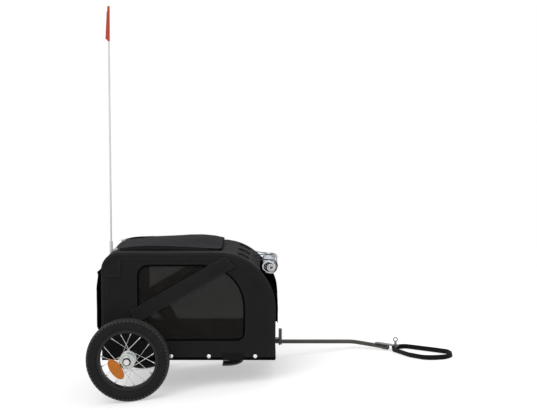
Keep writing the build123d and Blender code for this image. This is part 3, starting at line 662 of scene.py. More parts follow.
def make_materials(cloth, wheel):
    """Every finish on the trailer, each by what it is and how it was made."""
    # Coated polyester cloth, 0.5 mm threads drawn at 1.6 mm: dull, with a faint sheen on its folds.
    woven("coated cloth", cloth.side_colour, crease=0.22)
    woven("roof cloth", cloth.roof_colour, roughness=0.7, crease=0.25, sheen=0.015, gloss=0.05)
    woven("sleeve cloth", cloth.sleeve_colour, roughness=0.75, crease=0.15, sheen=0.02, gloss=0.06)
    # Black cloth of the front flap, door, gussets and rear pocket; the same black paints shade in the hatch's
    # corner and fold strips.
    woven("black flap cloth and painted shade", "#050506", roughness=0.9, crease=0.2, sheen=0.0, gloss=0.0)
    band_cloth("band cloth", "#353536")
    woven("floor cloth", "#1B1B1C", roughness=0.85, crease=0.1)
    # Binding tape and webbing: polyester, ribbed along its edge.
    woven(
        "binding tape", "#080809", roughness=0.85, thread=2.4, bump=0.5, sheen=0.0, slant=0.8, gloss=0.03)
    woven("webbing", "#0E0E0F", roughness=0.72, thread=2.6, bump=0.7, sheen=0.03, gloss=0.15)
    woven(
        "pennant nylon", "#C44936", roughness=0.6, thread=1.4, bump=0.15, sheen=0.15, share=0.08,
        gloss=0.3)
    net("window net", cloth.net_colour, cloth.net_open)
    clear_film("clear vinyl")
    # Moulded tyre rubber: dark, with dust in its sides.
    surface("tyre rubber", wheel.tyre_colour, 0.7, grain=1.2, bump=0.4, share=0.16, patch=22, gloss=0.12)
    # The tread blocks' rubber is lighter than the tyre's side: a painted highlight where the light falls on
    # the shoulder and crown.
    surface("highlit tread rubber", "#2C2B2A", 0.55, grain=1.0, bump=0.5, share=0.2, patch=15, gloss=0.35)
    surface("enamelled rim", "#120F10", 0.35, grain=3.0, bump=0.04, share=0.08, gloss=0.3)
    surface("zinc plate", "#B4B9B6", 0.34, metallic=1.0, grain=4.0, bump=0.12, share=0.14, patch=12)
    surface("spoke steel", "#D8D8D6", 0.38, metallic=1.0, grain=2.0, bump=0.05, share=0.08)
    surface("bright plate", "#D2D2D0", 0.16, metallic=1.0, grain=2.0, bump=0.03, share=0.05)
    # Steel that has dulled: the pins and the plate they pass through.
    surface("dull steel", "#77787A", 0.42, metallic=1.0, grain=2.0, bump=0.1, share=0.15, patch=10)
    surface("zipper metal", "#CFCFCD", 0.4, grain=1.0, bump=0.05, share=0.1)
    surface("snap nickel", "#E4E4E2", 0.22, metallic=1.0, grain=1.0, bump=0.03, share=0.05)
    surface(
        "reflector plastic", wheel.reflector_colour, 0.22, grain=3.0, bump=0.1, share=0.12, coat=0.12,
        patch=8, gloss=0.3)
    surface("black enamel", "#18181A", 0.38, grain=2.0, bump=0.08, share=0.1, coat=0.2)
    surface("drawbar enamel", "#46423E", 0.45, grain=1.0, bump=0.2, share=0.12, patch=25)
    surface("moulded nylon", "#1B1B1C", 0.5, grain=0.8, bump=0.35, share=0.1)
    surface("hook nylon", "#46474C", 0.42, grain=0.8, bump=0.3, share=0.12)
    surface("pole fibreglass", "#EBEBE8", 0.4, grain=1.0, bump=0.08, share=0.05)
    surface("hub end plastic", "#141415", 0.4, grain=1.0, bump=0.1, share=0.1)
    surface("folded vinyl", "#F0F1F3", 0.35, grain=3.0, bump=0.2, share=0.1, patch=14)
    surface("film edge", "#2C2D2F", 0.5, grain=1.0, bump=0.1, share=0.1)
    surface("thread", "#2E2E30", 0.8, grain=0.6, bump=0.3, share=0.15)


# ---- Repeated things, by geometry nodes ------------------------------------------------
def repeated(name, spots, sizes, build, material):
    """Copies of one small shape at spots, each a place, an outward and an along direction.

    build adds the shape to the tree from its named sizes and returns its geometry."""
    tree = bpy.data.node_groups.new(name, "GeometryNodeTree")
    tree.interface.new_socket("Geometry", in_out="INPUT", socket_type="NodeSocketGeometry")
    for key, value in sizes.items():
        made = tree.interface.new_socket(key, in_out="INPUT", socket_type="NodeSocketFloat")
        made.default_value = value
    tree.interface.new_socket("Finish", in_out="INPUT", socket_type="NodeSocketMaterial")
    tree.interface.new_socket("Geometry", in_out="OUTPUT", socket_type="NodeSocketGeometry")
    given = node(tree, "NodeGroupInput")
    outward = node(
        tree, "GeometryNodeInputNamedAttribute", {"Name": "outward"}, data_type="FLOAT_VECTOR")
    along = node(
        tree, "GeometryNodeInputNamedAttribute", {"Name": "along"}, data_type="FLOAT_VECTOR")
    turn = node(tree, "FunctionNodeAxesToRotation", {
        "Primary Axis": outward.outputs["Attribute"], "Secondary Axis": along.outputs["Attribute"]},
        primary_axis="Z", secondary_axis="X")
    copies = node(tree, "GeometryNodeInstanceOnPoints", {
        "Points": given.outputs["Geometry"], "Instance": build(tree, given),
        "Rotation": turn.outputs["Rotation"]})
    real = node(tree, "GeometryNodeRealizeInstances", {"Geometry": copies.outputs["Instances"]})
    dressed = node(tree, "GeometryNodeSetMaterial", {
        "Geometry": real.outputs["Geometry"], "Material": given.outputs["Finish"]})
    node(tree, "NodeGroupOutput", {"Geometry": dressed.outputs["Geometry"]})
    mesh = bpy.data.meshes.new(name)
    mesh.from_pydata([placed(*spot[0]) for spot in spots], [], [])
    turned = PARKED.to_3x3()
    for key, k in (("outward", 1), ("along", 2)):
        layer = mesh.attributes.new(key, "FLOAT_VECTOR", "POINT")
        for i, spot in enumerate(spots):
            layer.data[i].vector = (turned @ Vector(spot[k])).normalized()
    made = bpy.data.objects.new(name, mesh)
    bpy.context.collection.objects.link(made)
    copier = made.modifiers.new(name, "NODES")
    copier.node_group = tree
    for item in tree.interface.items_tree:
        if item.in_out == "INPUT" and item.name in sizes:
            copier[item.identifier] = sizes[item.name]
        if item.in_out == "INPUT" and item.name == "Finish":
            copier[item.identifier] = MADE[material]
    settle(made)
    smooth(made.data)
    return made


def stitch_shape(tree, given):
    """One stitch: a short thread lying along the seam, half sunk in the cloth."""
    rod = node(tree, "GeometryNodeMeshUVSphere", {
        "Segments": 6, "Rings": 4, "Radius": given.outputs["Thread"]})
    size = node(tree, "ShaderNodeCombineXYZ", {"X": given.outputs["Stretch"], "Y": 1.0, "Z": 0.7})
    return node(tree, "GeometryNodeTransform", {
        "Geometry": rod.outputs["Mesh"], "Scale": size.outputs["Vector"]}).outputs["Geometry"]


def stitches(name, lines, body, pitch=7.0):
    """Stitches along lines of places, each with its outward direction."""
    spots = []
    for line in lines:
        left_over = 0.0
        for (a, out_a), (b, out_b) in zip(line, line[1:]):
            a, b = Vector(a), Vector(b)
            step = (b - a).length
            if step < 1e-6:
                continue
            at = left_over
            while at < step:
                spots.append((a.lerp(b, at / step), Vector(out_a).lerp(Vector(out_b), at / step), b - a))
                at += pitch
            left_over = at - step
    sizes = {"Thread": 0.00055, "Stretch": 4.2}
    made = repeated(name, spots, sizes, stitch_shape, "thread")
    return seat(made, body)


# ---- Settings --------------------------------------------------------------------------
class TRAILER_PG_cloth(bpy.types.PropertyGroup):
    """Colours and sizes of the cabin's cloth."""

    side_colour: bpy.props.StringProperty(
        name="Side cloth", description="Colour of the side panels, as sRGB hex", default="#1F1F20")
    roof_colour: bpy.props.StringProperty(
        name="Roof cloth", description="Colour of the roof and its hatch, as sRGB hex", default="#201F22")
    sleeve_colour: bpy.props.StringProperty(
        name="Edge sleeve", description="Colour of the sleeve round the tubes, as sRGB hex",
        default="#272728")
    net_colour: bpy.props.StringProperty(
        name="Window net", description="Colour of the window net, as sRGB hex", default="#272624")
    net_open: bpy.props.FloatProperty(
        name="Net openness", description="Share of the light that passes through the net",
        default=0.13, min=0.0, max=0.9, subtype="FACTOR")
    thickness: bpy.props.FloatProperty(
        name="Cloth thickness", description="Thickness of the coated cloth, in millimetres",
        default=1.6, min=0.4, max=4.0)
    sleeve_width: bpy.props.FloatProperty(
        name="Sleeve width", description="Width of the sleeve round the hoop, in millimetres",
        default=15.0, min=8.0, max=30.0)


class TRAILER_PG_wheel(bpy.types.PropertyGroup):
    """Colours and counts of the wheels."""

    tyre_colour: bpy.props.StringProperty(
        name="Tyre side", description="Colour of the tyre's side, as sRGB hex", default="#212020")
    reflector_colour: bpy.props.StringProperty(
        name="Reflector", description="Colour of the wheel reflector, as sRGB hex", default="#C8720C")
    tread_count: bpy.props.IntProperty(
        name="Tread blocks", description="Blocks in one ring round the tyre", default=64, min=12, max=200)
    spoke_count: bpy.props.IntProperty(
        name="Spokes", description="Spokes in one wheel", default=16, min=8, max=40)


class TRAILER_PG_stage(bpy.types.PropertyGroup):
    """The studio and its camera."""

    lens: bpy.props.FloatProperty(
        name="Lens", description="Focal length on a 36 mm sensor", default=85.1, min=20.0, max=300.0)
    distance: bpy.props.FloatProperty(
        name="Distance", description="Camera's distance from the cabin's middle, in millimetres",
        default=4732.0, min=1000.0, max=20000.0)
    height: bpy.props.FloatProperty(
        name="Height", description="Camera's height over the level ground, in millimetres",
        default=1127.5, min=0.0, max=5000.0)
    ahead: bpy.props.FloatProperty(
        name="Ahead", description="Camera's distance ahead of the axle, in millimetres",
        default=503.2, min=-3000.0, max=3000.0)
    pitch: bpy.props.FloatProperty(
        name="Pitch", description="How far the camera looks down", default=math.radians(5.39),
        min=-1.5, max=1.5, subtype="ANGLE")


# ---- Wheels ------------------------------------------------------------------------------
# The tyre's outer half, from its bead to its crown: distance out from its middle, radius.
TYRE_HALF = (
    (13.3, 104.6), (13.4, 108.4), (13.7, 110.9), (16.8, 111.4), (18.4, 112.2), (19.5, 113.4),
    (19.7, 114.8), (20.1, 115.6), (21.3, 119.5), (22.2, 124.5), (22.4, 129.5), (21.9, 134.2),
    (20.6, 138.2), (18.2, 141.6), (14.6, 144.3), (9.6, 146.3), (4.4, 147.2),
)
# The hub shell's outer half, from its end to its waist: distance out from the middle, radius.
HUB_HALF = (
    (32, 6.7), (32, 12.6), (31.4, 13.2), (28.6, 13.4), (27.2, 15.2), (26.3, 20.5), (25.9, 27.6),
    (25.2, 28.8), (22.9, 28.8), (22.2, 27.6), (21.6, 20.0), (20.4, 15.6), (16.5, 13.6), (9, 12.7),
)
HUB_SHELL = (*HUB_HALF, *((-out, radius) for out, radius in reversed(HUB_HALF)))
HUB_END = ((32.2, 10.9), (32.2, 14.6), (32.8, 15.0), (35.0, 15.0), (35.9, 14.2), (35.9, 10.9))
# Rings of tread blocks: distance out, radius, lean from the crown in degrees, length, width.
TREAD_RINGS = (
    (0.0, 146.4, 0, 6.2, 3.4), (6.6, 145.9, 8, 5.0, 4.2), (13.0, 144.6, 24, 5.4, 3.8),
    (18.0, 141.9, 50, 4.6, 3.6),
)
# The reflector's middle: its turn round the axle in degrees, and its distance from it.
REFLECTOR_AT = 215.0
REFLECTOR_R = 47.5
REFLECTOR_HALF_LONG = 41.6
REFLECTOR_HALF_SHORT = 20.2
# Where the spokes end: on the hub, on the rim, and their heads on the flanges.
SPOKE_HUB_R = 30.3
SPOKE_RIM_R = 99.5
SPOKE_HEAD_R = 24.6


def block_shape(tree, given):
    """One tread block: a low block with sloping sides, longer round the tyre than across."""
    block = node(tree, "GeometryNodeMeshCone", {
        "Vertices": 4, "Radius Top": 0.00112, "Radius Bottom": 0.00142, "Depth": given.outputs["Height"]})
    turned = node(tree, "GeometryNodeTransform", {
        "Geometry": block.outputs["Mesh"], "Rotation": (0, 0, math.radians(45))})
    size = node(tree, "ShaderNodeCombineXYZ", {
        "X": given.outputs["Length"], "Y": given.outputs["Width"], "Z": 1.0})
    return node(tree, "GeometryNodeTransform", {
        "Geometry": turned.outputs["Geometry"], "Scale": size.outputs["Vector"]}).outputs["Geometry"]


def nipple_shape(tree, given):
    """One spoke nipple: a tapered barrel on a square foot."""
    barrel = node(tree, "GeometryNodeMeshCone", {
        "Vertices": 8, "Radius Top": 0.0015, "Radius Bottom": 0.0021, "Depth": given.outputs["Length"]})
    foot = node(tree, "GeometryNodeMeshCylinder", {"Vertices": 4, "Radius": 0.0028, "Depth": 0.0032})
    both = node(tree, "GeometryNodeJoinGeometry")
    tree.links.new(barrel.outputs["Mesh"], both.inputs["Geometry"])
    tree.links.new(foot.outputs["Mesh"], both.inputs["Geometry"])
    return both.outputs["Geometry"]


def head_shape(tree, given):
    """One spoke's head on the hub's flange: a low dome."""
    dome = node(tree, "GeometryNodeMeshUVSphere", {
        "Segments": 10, "Rings": 6, "Radius": given.outputs["Radius"]})
    return node(tree, "GeometryNodeTransform", {
        "Geometry": dome.outputs["Mesh"], "Scale": (1.0, 1.0, 0.55)}).outputs["Geometry"]


def wheel_point(radius, turn, y):
    """A point at a radius and a turn about the axle."""
    return Vector((radius * math.cos(turn), y, WHEEL_R + radius * math.sin(turn)))


def spoke_ends(number, side, count):
    """Where a spoke leaves the hub and where it meets the rim."""
    near = 1 if number % 2 else -1
    trailing = 1 if number % 4 in (0, 3) else -1
    rim_turn = math.radians(-7.75 + number * 360 / count)
    hub_turn = rim_turn + trailing * math.radians(45)
    hub = wheel_point(SPOKE_HUB_R, hub_turn, side * (WHEEL_Y + near * (24 + 1.6 * trailing)))
    rim = wheel_point(SPOKE_RIM_R, rim_turn, side * (WHEEL_Y + near * 2))
    return hub, rim, hub_turn, near


class TRAILER_OT_wheels(bpy.types.Operator):
    """Both wheels: tyres with their tread, hubs, spoke ends and reflectors"""

    bl_idname = "trailer.wheels"
    bl_label = "Wheels"

    def execute(self, context):
        settings = context.scene.trailer_wheel
        for name, side in SIDES:
            body = f"wheel_{name}"
            middle = side * WHEEL_Y
            half = [(out * side, r) for out, r in TYRE_HALF]
            ring = half + [(0, 147.5)] + [(-out, r) for out, r in reversed(half)]
            tyre = shaped(f"tyre_side_{name}", *spun(ring, 144, middle), "tyre rubber")
            seat(tyre, body, [f"tyre_{name}"])
            self.tread(name, side, settings.tread_count)
            shell = [(out * side, r) for out, r in HUB_SHELL]
            hub = shaped(f"hub_shell_{name}", *spun(shell, 64, middle), "zinc plate")
            seat(hub, body, [f"hub_{name}"])
            end = [(out * side, r) for out, r in HUB_END]
            seat(shaped(f"hub_end_{name}", *spun(end, 48, middle), "hub end plastic"), body)
            self.spoke_ends(name, side, settings.spoke_count)
            self.reflector(name, side)
            dress("enamelled rim", f"rim_{name}")
            dress("spoke steel", f"spokes_{name}")
            dress("bright plate", f"axle_{name}")
        return {"FINISHED"}

    def tread(self, name, side, count):
        """Rings of tread blocks, each ring set half a block on from the next."""
        for row, (out, radius, lean, length, width) in enumerate(TREAD_RINGS):
            spots = []
            for hand in ((1,) if out == 0 else (1, -1)):
                tilt = math.radians(lean) * hand
                for k in range(count):
                    turn = 2 * math.pi * (k + 0.5 * (row % 2) + (0.25 if hand < 0 else 0)) / count
                    flat = Vector((math.cos(turn), 0, math.sin(turn)))
                    place = flat * radius + Vector((0, side * WHEEL_Y + out * hand, WHEEL_R))
                    outward = flat * math.cos(tilt) + Vector((0, math.sin(tilt), 0))
                    along = Vector((-math.sin(turn), 0.25 * hand * (row % 2), math.cos(turn)))
                    spots.append((place, outward, along))
            sizes = {"Length": length, "Width": width, "Height": 0.0036}
            # The blocks take the lighter tread rubber, a painted highlight on the tyre.
            made = repeated(f"tread_{row}_{name}", spots, sizes, block_shape, "highlit tread rubber")
            seat(made, f"wheel_{name}")

    def spoke_ends(self, name, side, count):
        """Nipples at the rim and spoke heads on the hub's flanges."""
        nipples, heads = [], []
        for number in range(count):
            hub, rim, hub_turn, near = spoke_ends(number, side, count)
            along = (hub - rim).normalized()
            nipples.append((rim + along * 4.5, along, Vector((0, 1, 0))))
            flange = wheel_point(SPOKE_HEAD_R, hub_turn, side * (WHEEL_Y + near * 26.1))
            heads.append((flange, Vector((0, side * near, 0)), Vector((1, 0, 0))))
        made = repeated(f"nipples_{name}", nipples, {"Length": 0.010}, nipple_shape, "spoke steel")
        seat(made, f"wheel_{name}")
        made = repeated(f"spoke_heads_{name}", heads, {"Radius": 0.0024}, head_shape, "spoke steel")
        seat(made, f"wheel_{name}")

    def reflector(self, name, side):
        """An oval reflector with a plain border and fine ribs across its domed face."""
        turn = math.radians(REFLECTOR_AT)
        centre = Vector((REFLECTOR_R * math.cos(turn), WHEEL_R + REFLECTOR_R * math.sin(turn)))
        long_way = Vector((math.cos(turn + math.pi / 2), math.sin(turn + math.pi / 2)))
        short_way = Vector((math.cos(turn), math.sin(turn)))

        def lie(u, v):
            """A point of the reflector's face."""
            reach = math.hypot(u / REFLECTOR_HALF_LONG, v / REFLECTOR_HALF_SHORT)
            height = 29.4 + 1.2 * (1 - reach ** 2)
            if reach < 0.86:
                height += 0.55 * math.cos(2 * math.pi * u / 5.6) - 0.8
            else:
                height += 0.6 - 5 * max(0, reach - 0.93)
            spot = centre + long_way * u + short_way * v
            return (spot.x, side * (WHEEL_Y + height), spot.y)

        rim = []
        for k in range(72):
            at = 2 * math.pi * k / 72
            rim.append((REFLECTOR_HALF_LONG * math.cos(at), REFLECTOR_HALF_SHORT * math.sin(at)))
        flat, faces = flat_mesh(rim, (), 1.5)
        verts = [lie(u, v) for u, v in flat]
        made = thicken(
            shaped(f"reflector_{name}", verts, faces, "reflector plastic", closed=False), 3.6, 60)
        seat(made, f"wheel_{name}", [f"wheel_reflector_{name}"])


def dress(material, *names):
    """Gives solids of the frame a finish."""
    for name in names:
        for place in NODES[name].material_slots:
            place.material = MADE[material]


# ---- Cabin sides ---------------------------------------------------------------------------
# How far out from the trailer's middle the side's layers lie.
SIDE_Y = 205.0
SLEEVE_Y = 196.4
NET_Y = 203.3
BAND_Y = 207.4
PATCH_Y = 206.9
SEAM_Y = 206.0
SLEEVE_IN = 9.6
# The bound hems along the cabin's foot: their height and the foot of the cloth.
HEM_Z = 141.2
FOOT_Z = 136.8
SNAPS_AT = (151.0, 287.0, 455.0)
SNAP_Z = 150.5
BAND_FOOT = Vector((15.0, 294.0))
BAND_WAY = Vector((math.cos(math.radians(30)), math.sin(math.radians(30))))
BAND_ACROSS = Vector((-BAND_WAY.y, BAND_WAY.x))
BAND_HALF = 26.0
# Half the gap between the band's two rows of stitches, and how far along it they run.
BAND_SEAM = 22.0
BAND_SEAM_FROM = 4.0
BAND_SEAM_LOW_TO = 392.0
BAND_SEAM_HIGH_TO = 376.0
PATCH_REAR = -88
PATCH_FRONT = -29
PATCH_LOW = 439
PATCH = (
    (PATCH_REAR, PATCH_LOW), (PATCH_FRONT, PATCH_LOW), (PATCH_FRONT, 510), (-61, 510), (-80, 490),
    (PATCH_REAR, 472),
)


def side_loop(inset):
    """The side cloth's outline, moved in from the cabin's own."""
    count = 150
    loop = []
    for k in range(count + 1):
        x, _, z = skin(RUNS[-1] * k / count, 0, -inset)
        loop.append((x, max(z, BASE_Z + 0.6)))
    return loop


def band_loop():
    """The window band's outline: straight edges, its top end cut to the cabin's edge."""
    low, high = [], []
    for across, line in ((-BAND_HALF, low), (BAND_HALF, high)):
        reach = 0.0
        while reach < 410:
            spot = BAND_FOOT + BAND_WAY * reach + BAND_ACROSS * across
            if edge_distance(spot.x, spot.y) < 11:
                break
            reach += 2.0
        start = BAND_FOOT + BAND_ACROSS * across
        line += [tuple(start), tuple(BAND_FOOT + BAND_WAY * reach + BAND_ACROSS * across)]
    return [low[0], low[1], high[1], high[0]]


def snap_shape(tree, given):
    """One snap fastener's cap: a rolled disc with a domed middle."""
    disc = node(tree, "GeometryNodeMeshCylinder", {
        "Vertices": 24, "Radius": given.outputs["Radius"], "Depth": 0.0014})
    roll = node(tree, "GeometryNodeMeshCone", {
        "Vertices": 24, "Radius Top": 0.0052, "Radius Bottom": 0.0066, "Depth": 0.0011})
    lifted = node(tree, "GeometryNodeTransform", {
        "Geometry": roll.outputs["Mesh"], "Translation": (0, 0, 0.0006)})
    dome = node(tree, "GeometryNodeMeshUVSphere", {"Segments": 16, "Rings": 8, "Radius": 0.0044})
    low = node(tree, "GeometryNodeTransform", {
        "Geometry": dome.outputs["Mesh"], "Scale": (1, 1, 0.35), "Translation": (0, 0, 0.0015)})
    all_three = node(tree, "GeometryNodeJoinGeometry")
    for made in (disc.outputs["Mesh"], lifted.outputs["Geometry"], low.outputs["Geometry"]):
        tree.links.new(made, all_three.inputs["Geometry"])
    return all_three.outputs["Geometry"]


class TRAILER_OT_sides(bpy.types.Operator):
    """The cabin's sides: cloth, edge sleeves, windows, bands, patches, hems and snaps"""

    bl_idname = "trailer.sides"
    bl_label = "Cabin sides"

    def execute(self, context):
        settings = context.scene.trailer_cloth
        for name, side in SIDES:
            self.cloth(name, side, settings)
            self.window(name, side)
            self.reinforcements(name, side)
            self.snaps(name, side)
            self.seams(name, side)
        return {"FINISHED"}

    def cloth(self, name, side, settings):
        """The side cloth with its window cut out, its sleeve round the hoop and its hem."""
        outline = side_loop(12)
        hole = window_loop(0)

        def lie(x, z):
            """Where a point of the side cloth lies."""
            return (x, side * (SIDE_Y + side_depth(x, z)), z)

        main = cloth_piece(f"side_cloth_{name}", outline, [hole], lie, settings.thickness, "coated cloth", 7)
        seat(main, "trailer", [f"side_panel_{name}"])

        half = settings.sleeve_width * 0.64
        line = []
        count = 240
        for k in range(count + 1):
            run = RUNS[-1] * k / count
            pull = 0.5 * soft_noise(run, side * 40, 7.0, 30)
            line.append(skin(run, side * (SLEEVE_Y + pull * 0.4), -SLEEVE_IN - 0.2 + 0.35 * pull))
        verts, faces, uv = swept(line, oval(half, half, 20, 0.82), up=(0, side, 0))
        verts = [v + (v - Vector(line[i // 20])).normalized() * 0.35 * soft_noise(v.x, v.z, v.y / 20, 14)
                 for i, v in enumerate(verts)]
        sleeve = shaped(f"edge_sleeve_{name}", verts, faces, "sleeve cloth", uv)
        seat(sleeve, "trailer")

        long_way = FRONT_FOOT_X - REAR_X - 2
        line = [(REAR_X + 1 + long_way * k / 90, side * 205.9, HEM_Z) for k in range(91)]
        hem = taped(f"hem_{name}", line, oval(5.4, 1.5, 12, 0.6), (0, side, 0))
        declared(main)

    def window(self, name, side):
        """The window's net and the tape bound round its edge."""
        outline = window_loop(9)

        def lie(x, z):
            """Where a point of the net lies, just inside the side cloth."""
            return (x, side * (NET_Y + min(side_depth(x, z), 0.4)), z)

        net_piece = cloth_piece(f"window_net_{name}", outline, [], lie, 0.6, "window net", 10)
        seat(net_piece, "trailer", [f"side_mesh_{name}"])
        loop = divided(window_loop(2.6), 6)
        line = [(x, side * (206.1 + side_depth(x, z)), z) for x, z in loop]
        tape = taped(f"window_tape_{name}", line, oval(3.4, 1.2, 10, 0.7), (0, side, 0), closed=True)
        declared(net_piece)

    def reinforcements(self, name, side):
        """The slanting band over the window and the square patch at the rear corner."""
        band = band_loop()

        def lie_band(x, z):
            """Where a point of the band lies."""
            return (x, side * (BAND_Y + 0.5 * soft_noise(x, z, 5.0, 45)), z)

        made = cloth_piece(f"window_strap_{name}", band, [], lie_band, 1.8, "band cloth", 7)
        seat(made, "trailer", [f"window_band_{name}"])
        declared(made)
        patch = rounded(PATCH, (6, 5, 5, 10, 16, 10), 4)

        def lie_patch(x, z):
            """Where a point of the patch lies, its edges turned down to the cloth."""
            return (x, side * (PATCH_Y + max(side_depth(x, z), -0.6) * 0.6), z)

        made = cloth_piece(f"rear_patch_{name}", patch, [], lie_patch, 1.8, "coated cloth", 5)
        seat(made, "trailer", [f"corner_patch_{name}"])
        declared(made)

    def snaps(self, name, side):
        """Three snap fasteners over the hem."""
        spots = [((x, side * 206.7, SNAP_Z), (0, side, 0), (1, 0, 0)) for x in SNAPS_AT]
        made = repeated(f"snaps_{name}", spots, {"Radius": 0.0070}, snap_shape, "snap nickel")
        seat(made, "trailer")

    def seams(self, name, side):
        """Stitched lines beside the sleeve, round the window, the band and the patch."""
        outward = (0, side, 0)
        lines = []
        loop = [p for p in side_loop(20.5) if p[1] > 152]
        lines.append([((x, side * (SEAM_Y + side_depth(x, z)), z), outward) for x, z in loop])
        loop = divided(window_loop(9), 8)
        lines.append([((x, side * (SEAM_Y + side_depth(x, z)), z), outward) for x, z in loop])
        aside = BAND_ACROSS * BAND_SEAM
        low = [BAND_FOOT + BAND_WAY * reach - aside for reach in (BAND_SEAM_FROM, BAND_SEAM_LOW_TO)]
        high = [BAND_FOOT + BAND_WAY * reach + aside for reach in (BAND_SEAM_FROM, BAND_SEAM_HIGH_TO)]
        for a, b in (low, high, (low[0], high[0])):
            lines.append([((p.x, side * 208.3, p.y), outward) for p in (a, b)])
        for inset in (4, 8):
            rear, front, low_z = PATCH_REAR + inset, PATCH_FRONT - inset, PATCH_LOW + inset
            square = [(rear, 472), (rear, low_z), (front, low_z), (front, 506)]
            lines.append([((x, side * 207.9, z), outward) for x, z in square])
        lines.append([((x, side * 206.2, 149.6), outward) for x in (-80, 510)])
        stitches(f"seams_{name}", lines, "trailer")


# ---- Roof, its hatch and the floor ------------------------------------------------------------
HATCH_REAR = -43.0
HATCH_FRONT = 333.0
HATCH_HALF = 125.0
HATCH_AXIS_Z = 530.3
HATCH_RISE = math.radians(1.7)
HATCH_LONG = (HATCH_FRONT - HATCH_REAR) / math.cos(HATCH_RISE)
# Half the width of the cloths that lie between the side sleeves.
CLOTH_HALF = 193.0
# The roof cloth: its rear edge's height, its front edge's angle above level, its hole.
ROOF_REAR_Z = 464.6
ROOF_FRONT_ANGLE = 42
HOLE_REAR = -31
HOLE_FRONT = 321
HOLE_HALF = 113
# The straps' loose ends on the roof: where they start, their length and their places across.
TABS_FROM = 391
TABS_LONG = 46
TABS_AT = (-135.0, 0.0, 135.0)
# The floor's cover: its ends, half width and height, and the pitch of its sewn channels.
FLOOR_REAR = -92
FLOOR_FRONT = 512
FLOOR_HALF = 187
FLOOR_Z = 153.4
CHANNEL_PITCH = 62
# The hatch edges' rise over the hinge: share of the way ahead, millimetres.
HATCH_RIGHT = ((0, 1.4), (0.1, 7.5), (0.29, 12.5), (0.45, 11.0), (0.67, 7.7), (0.85, 4.0), (1, 1.0))
HATCH_LEFT = (
    (0, 8), (0.06, 13), (0.16, 16), (0.34, 18), (0.53, 21.3), (0.65, 24), (0.77, 25), (0.88, 22),
    (0.95, 17.5), (1, 12),
)


def rectangle(low, high, half):
    """A rectangle's corners, from low to high and as far to both sides."""
    return [(low, -half), (high, -half), (high, half), (low, half)]


def between(table, share):
    """The value at a share along a table, on straight steps between its entries."""
    for (a, low), (b, high) in zip(table, table[1:]):
        if share <= b:
            return low + (high - low) * max(0.0, share - a) / (b - a)
    return table[-1][1]


def hatch_point(along, y, lift=0.0):
    """A point of the roof hatch: its distance from the hinge, across, and above its plane.

    Its slack cloth arches up between the corners, more to the left and furthest ahead there."""
    share = max(0.0, min(1.0, along / HATCH_LONG))
    spread = [max(0.0, min(1.0, share + k * 0.03)) for k in (-1, 0, 1)]
    right = sum(between(HATCH_RIGHT, k) for k in spread) / 3
    left = sum(between(HATCH_LEFT, k) for k in spread) / 3
    puff = math.sin(math.pi * share) * (1 - (y / HATCH_HALF) ** 2)
    rise = right + (left - right) * fade(y, -HATCH_HALF, HATCH_HALF) + 3.0 * puff
    up = lift + rise + 1.5 * puff * soft_noise(along, y, 3.0, 70) + 0.5 * soft_noise(along, y, 9.0, 26)
    return (HATCH_REAR + along * math.cos(HATCH_RISE), y, HATCH_AXIS_Z + up)


def slider_shape(tree, given):
    """One zip slider: a small body with its pull lying over it."""
    body = node(tree, "GeometryNodeMeshCube", {"Size": (0.017, 0.009, 0.006)})
    pull = node(tree, "GeometryNodeMeshCone", {
        "Vertices": 8, "Radius Top": 0.0035, "Radius Bottom": 0.0042, "Depth": 0.0012})
    laid = node(tree, "GeometryNodeTransform", {
        "Geometry": pull.outputs["Mesh"], "Translation": (given.outputs["Pull"]), "Scale": (2.0, 0.9, 1.0)})
    both = node(tree, "GeometryNodeJoinGeometry")
    tree.links.new(body.outputs["Mesh"], both.inputs["Geometry"])
    tree.links.new(laid.outputs["Geometry"], both.inputs["Geometry"])
    return both.outputs["Geometry"]


def teeth_shape(tree, given):
    """One zip tooth."""
    return node(tree, "GeometryNodeMeshCube", {"Size": (0.0012, 0.0042, 0.0012)}).outputs["Mesh"]


def zip_line(name, line, body, pitch=2.4):
    """A zip along a line of places, each with its outward direction: tape and teeth."""
    outward = line[0][1]
    taped(f"{name}_tape", [p for p, _ in line], oval(7.0, 0.5, 8, 0.6), outward, body=body)
    spots = []
    left_over = 0.0
    for (a, out_a), (b, _) in zip(line, line[1:]):
        a, b = Vector(a), Vector(b)
        step = (b - a).length
        at = left_over
        while at < step:
            spots.append((a.lerp(b, at / step) + Vector(out_a).normalized() * 0.8, out_a, b - a))
            at += pitch
        left_over = at - step
    teeth = repeated(f"{name}_teeth", spots, {}, teeth_shape, "moulded nylon")
    return seat(teeth, body)


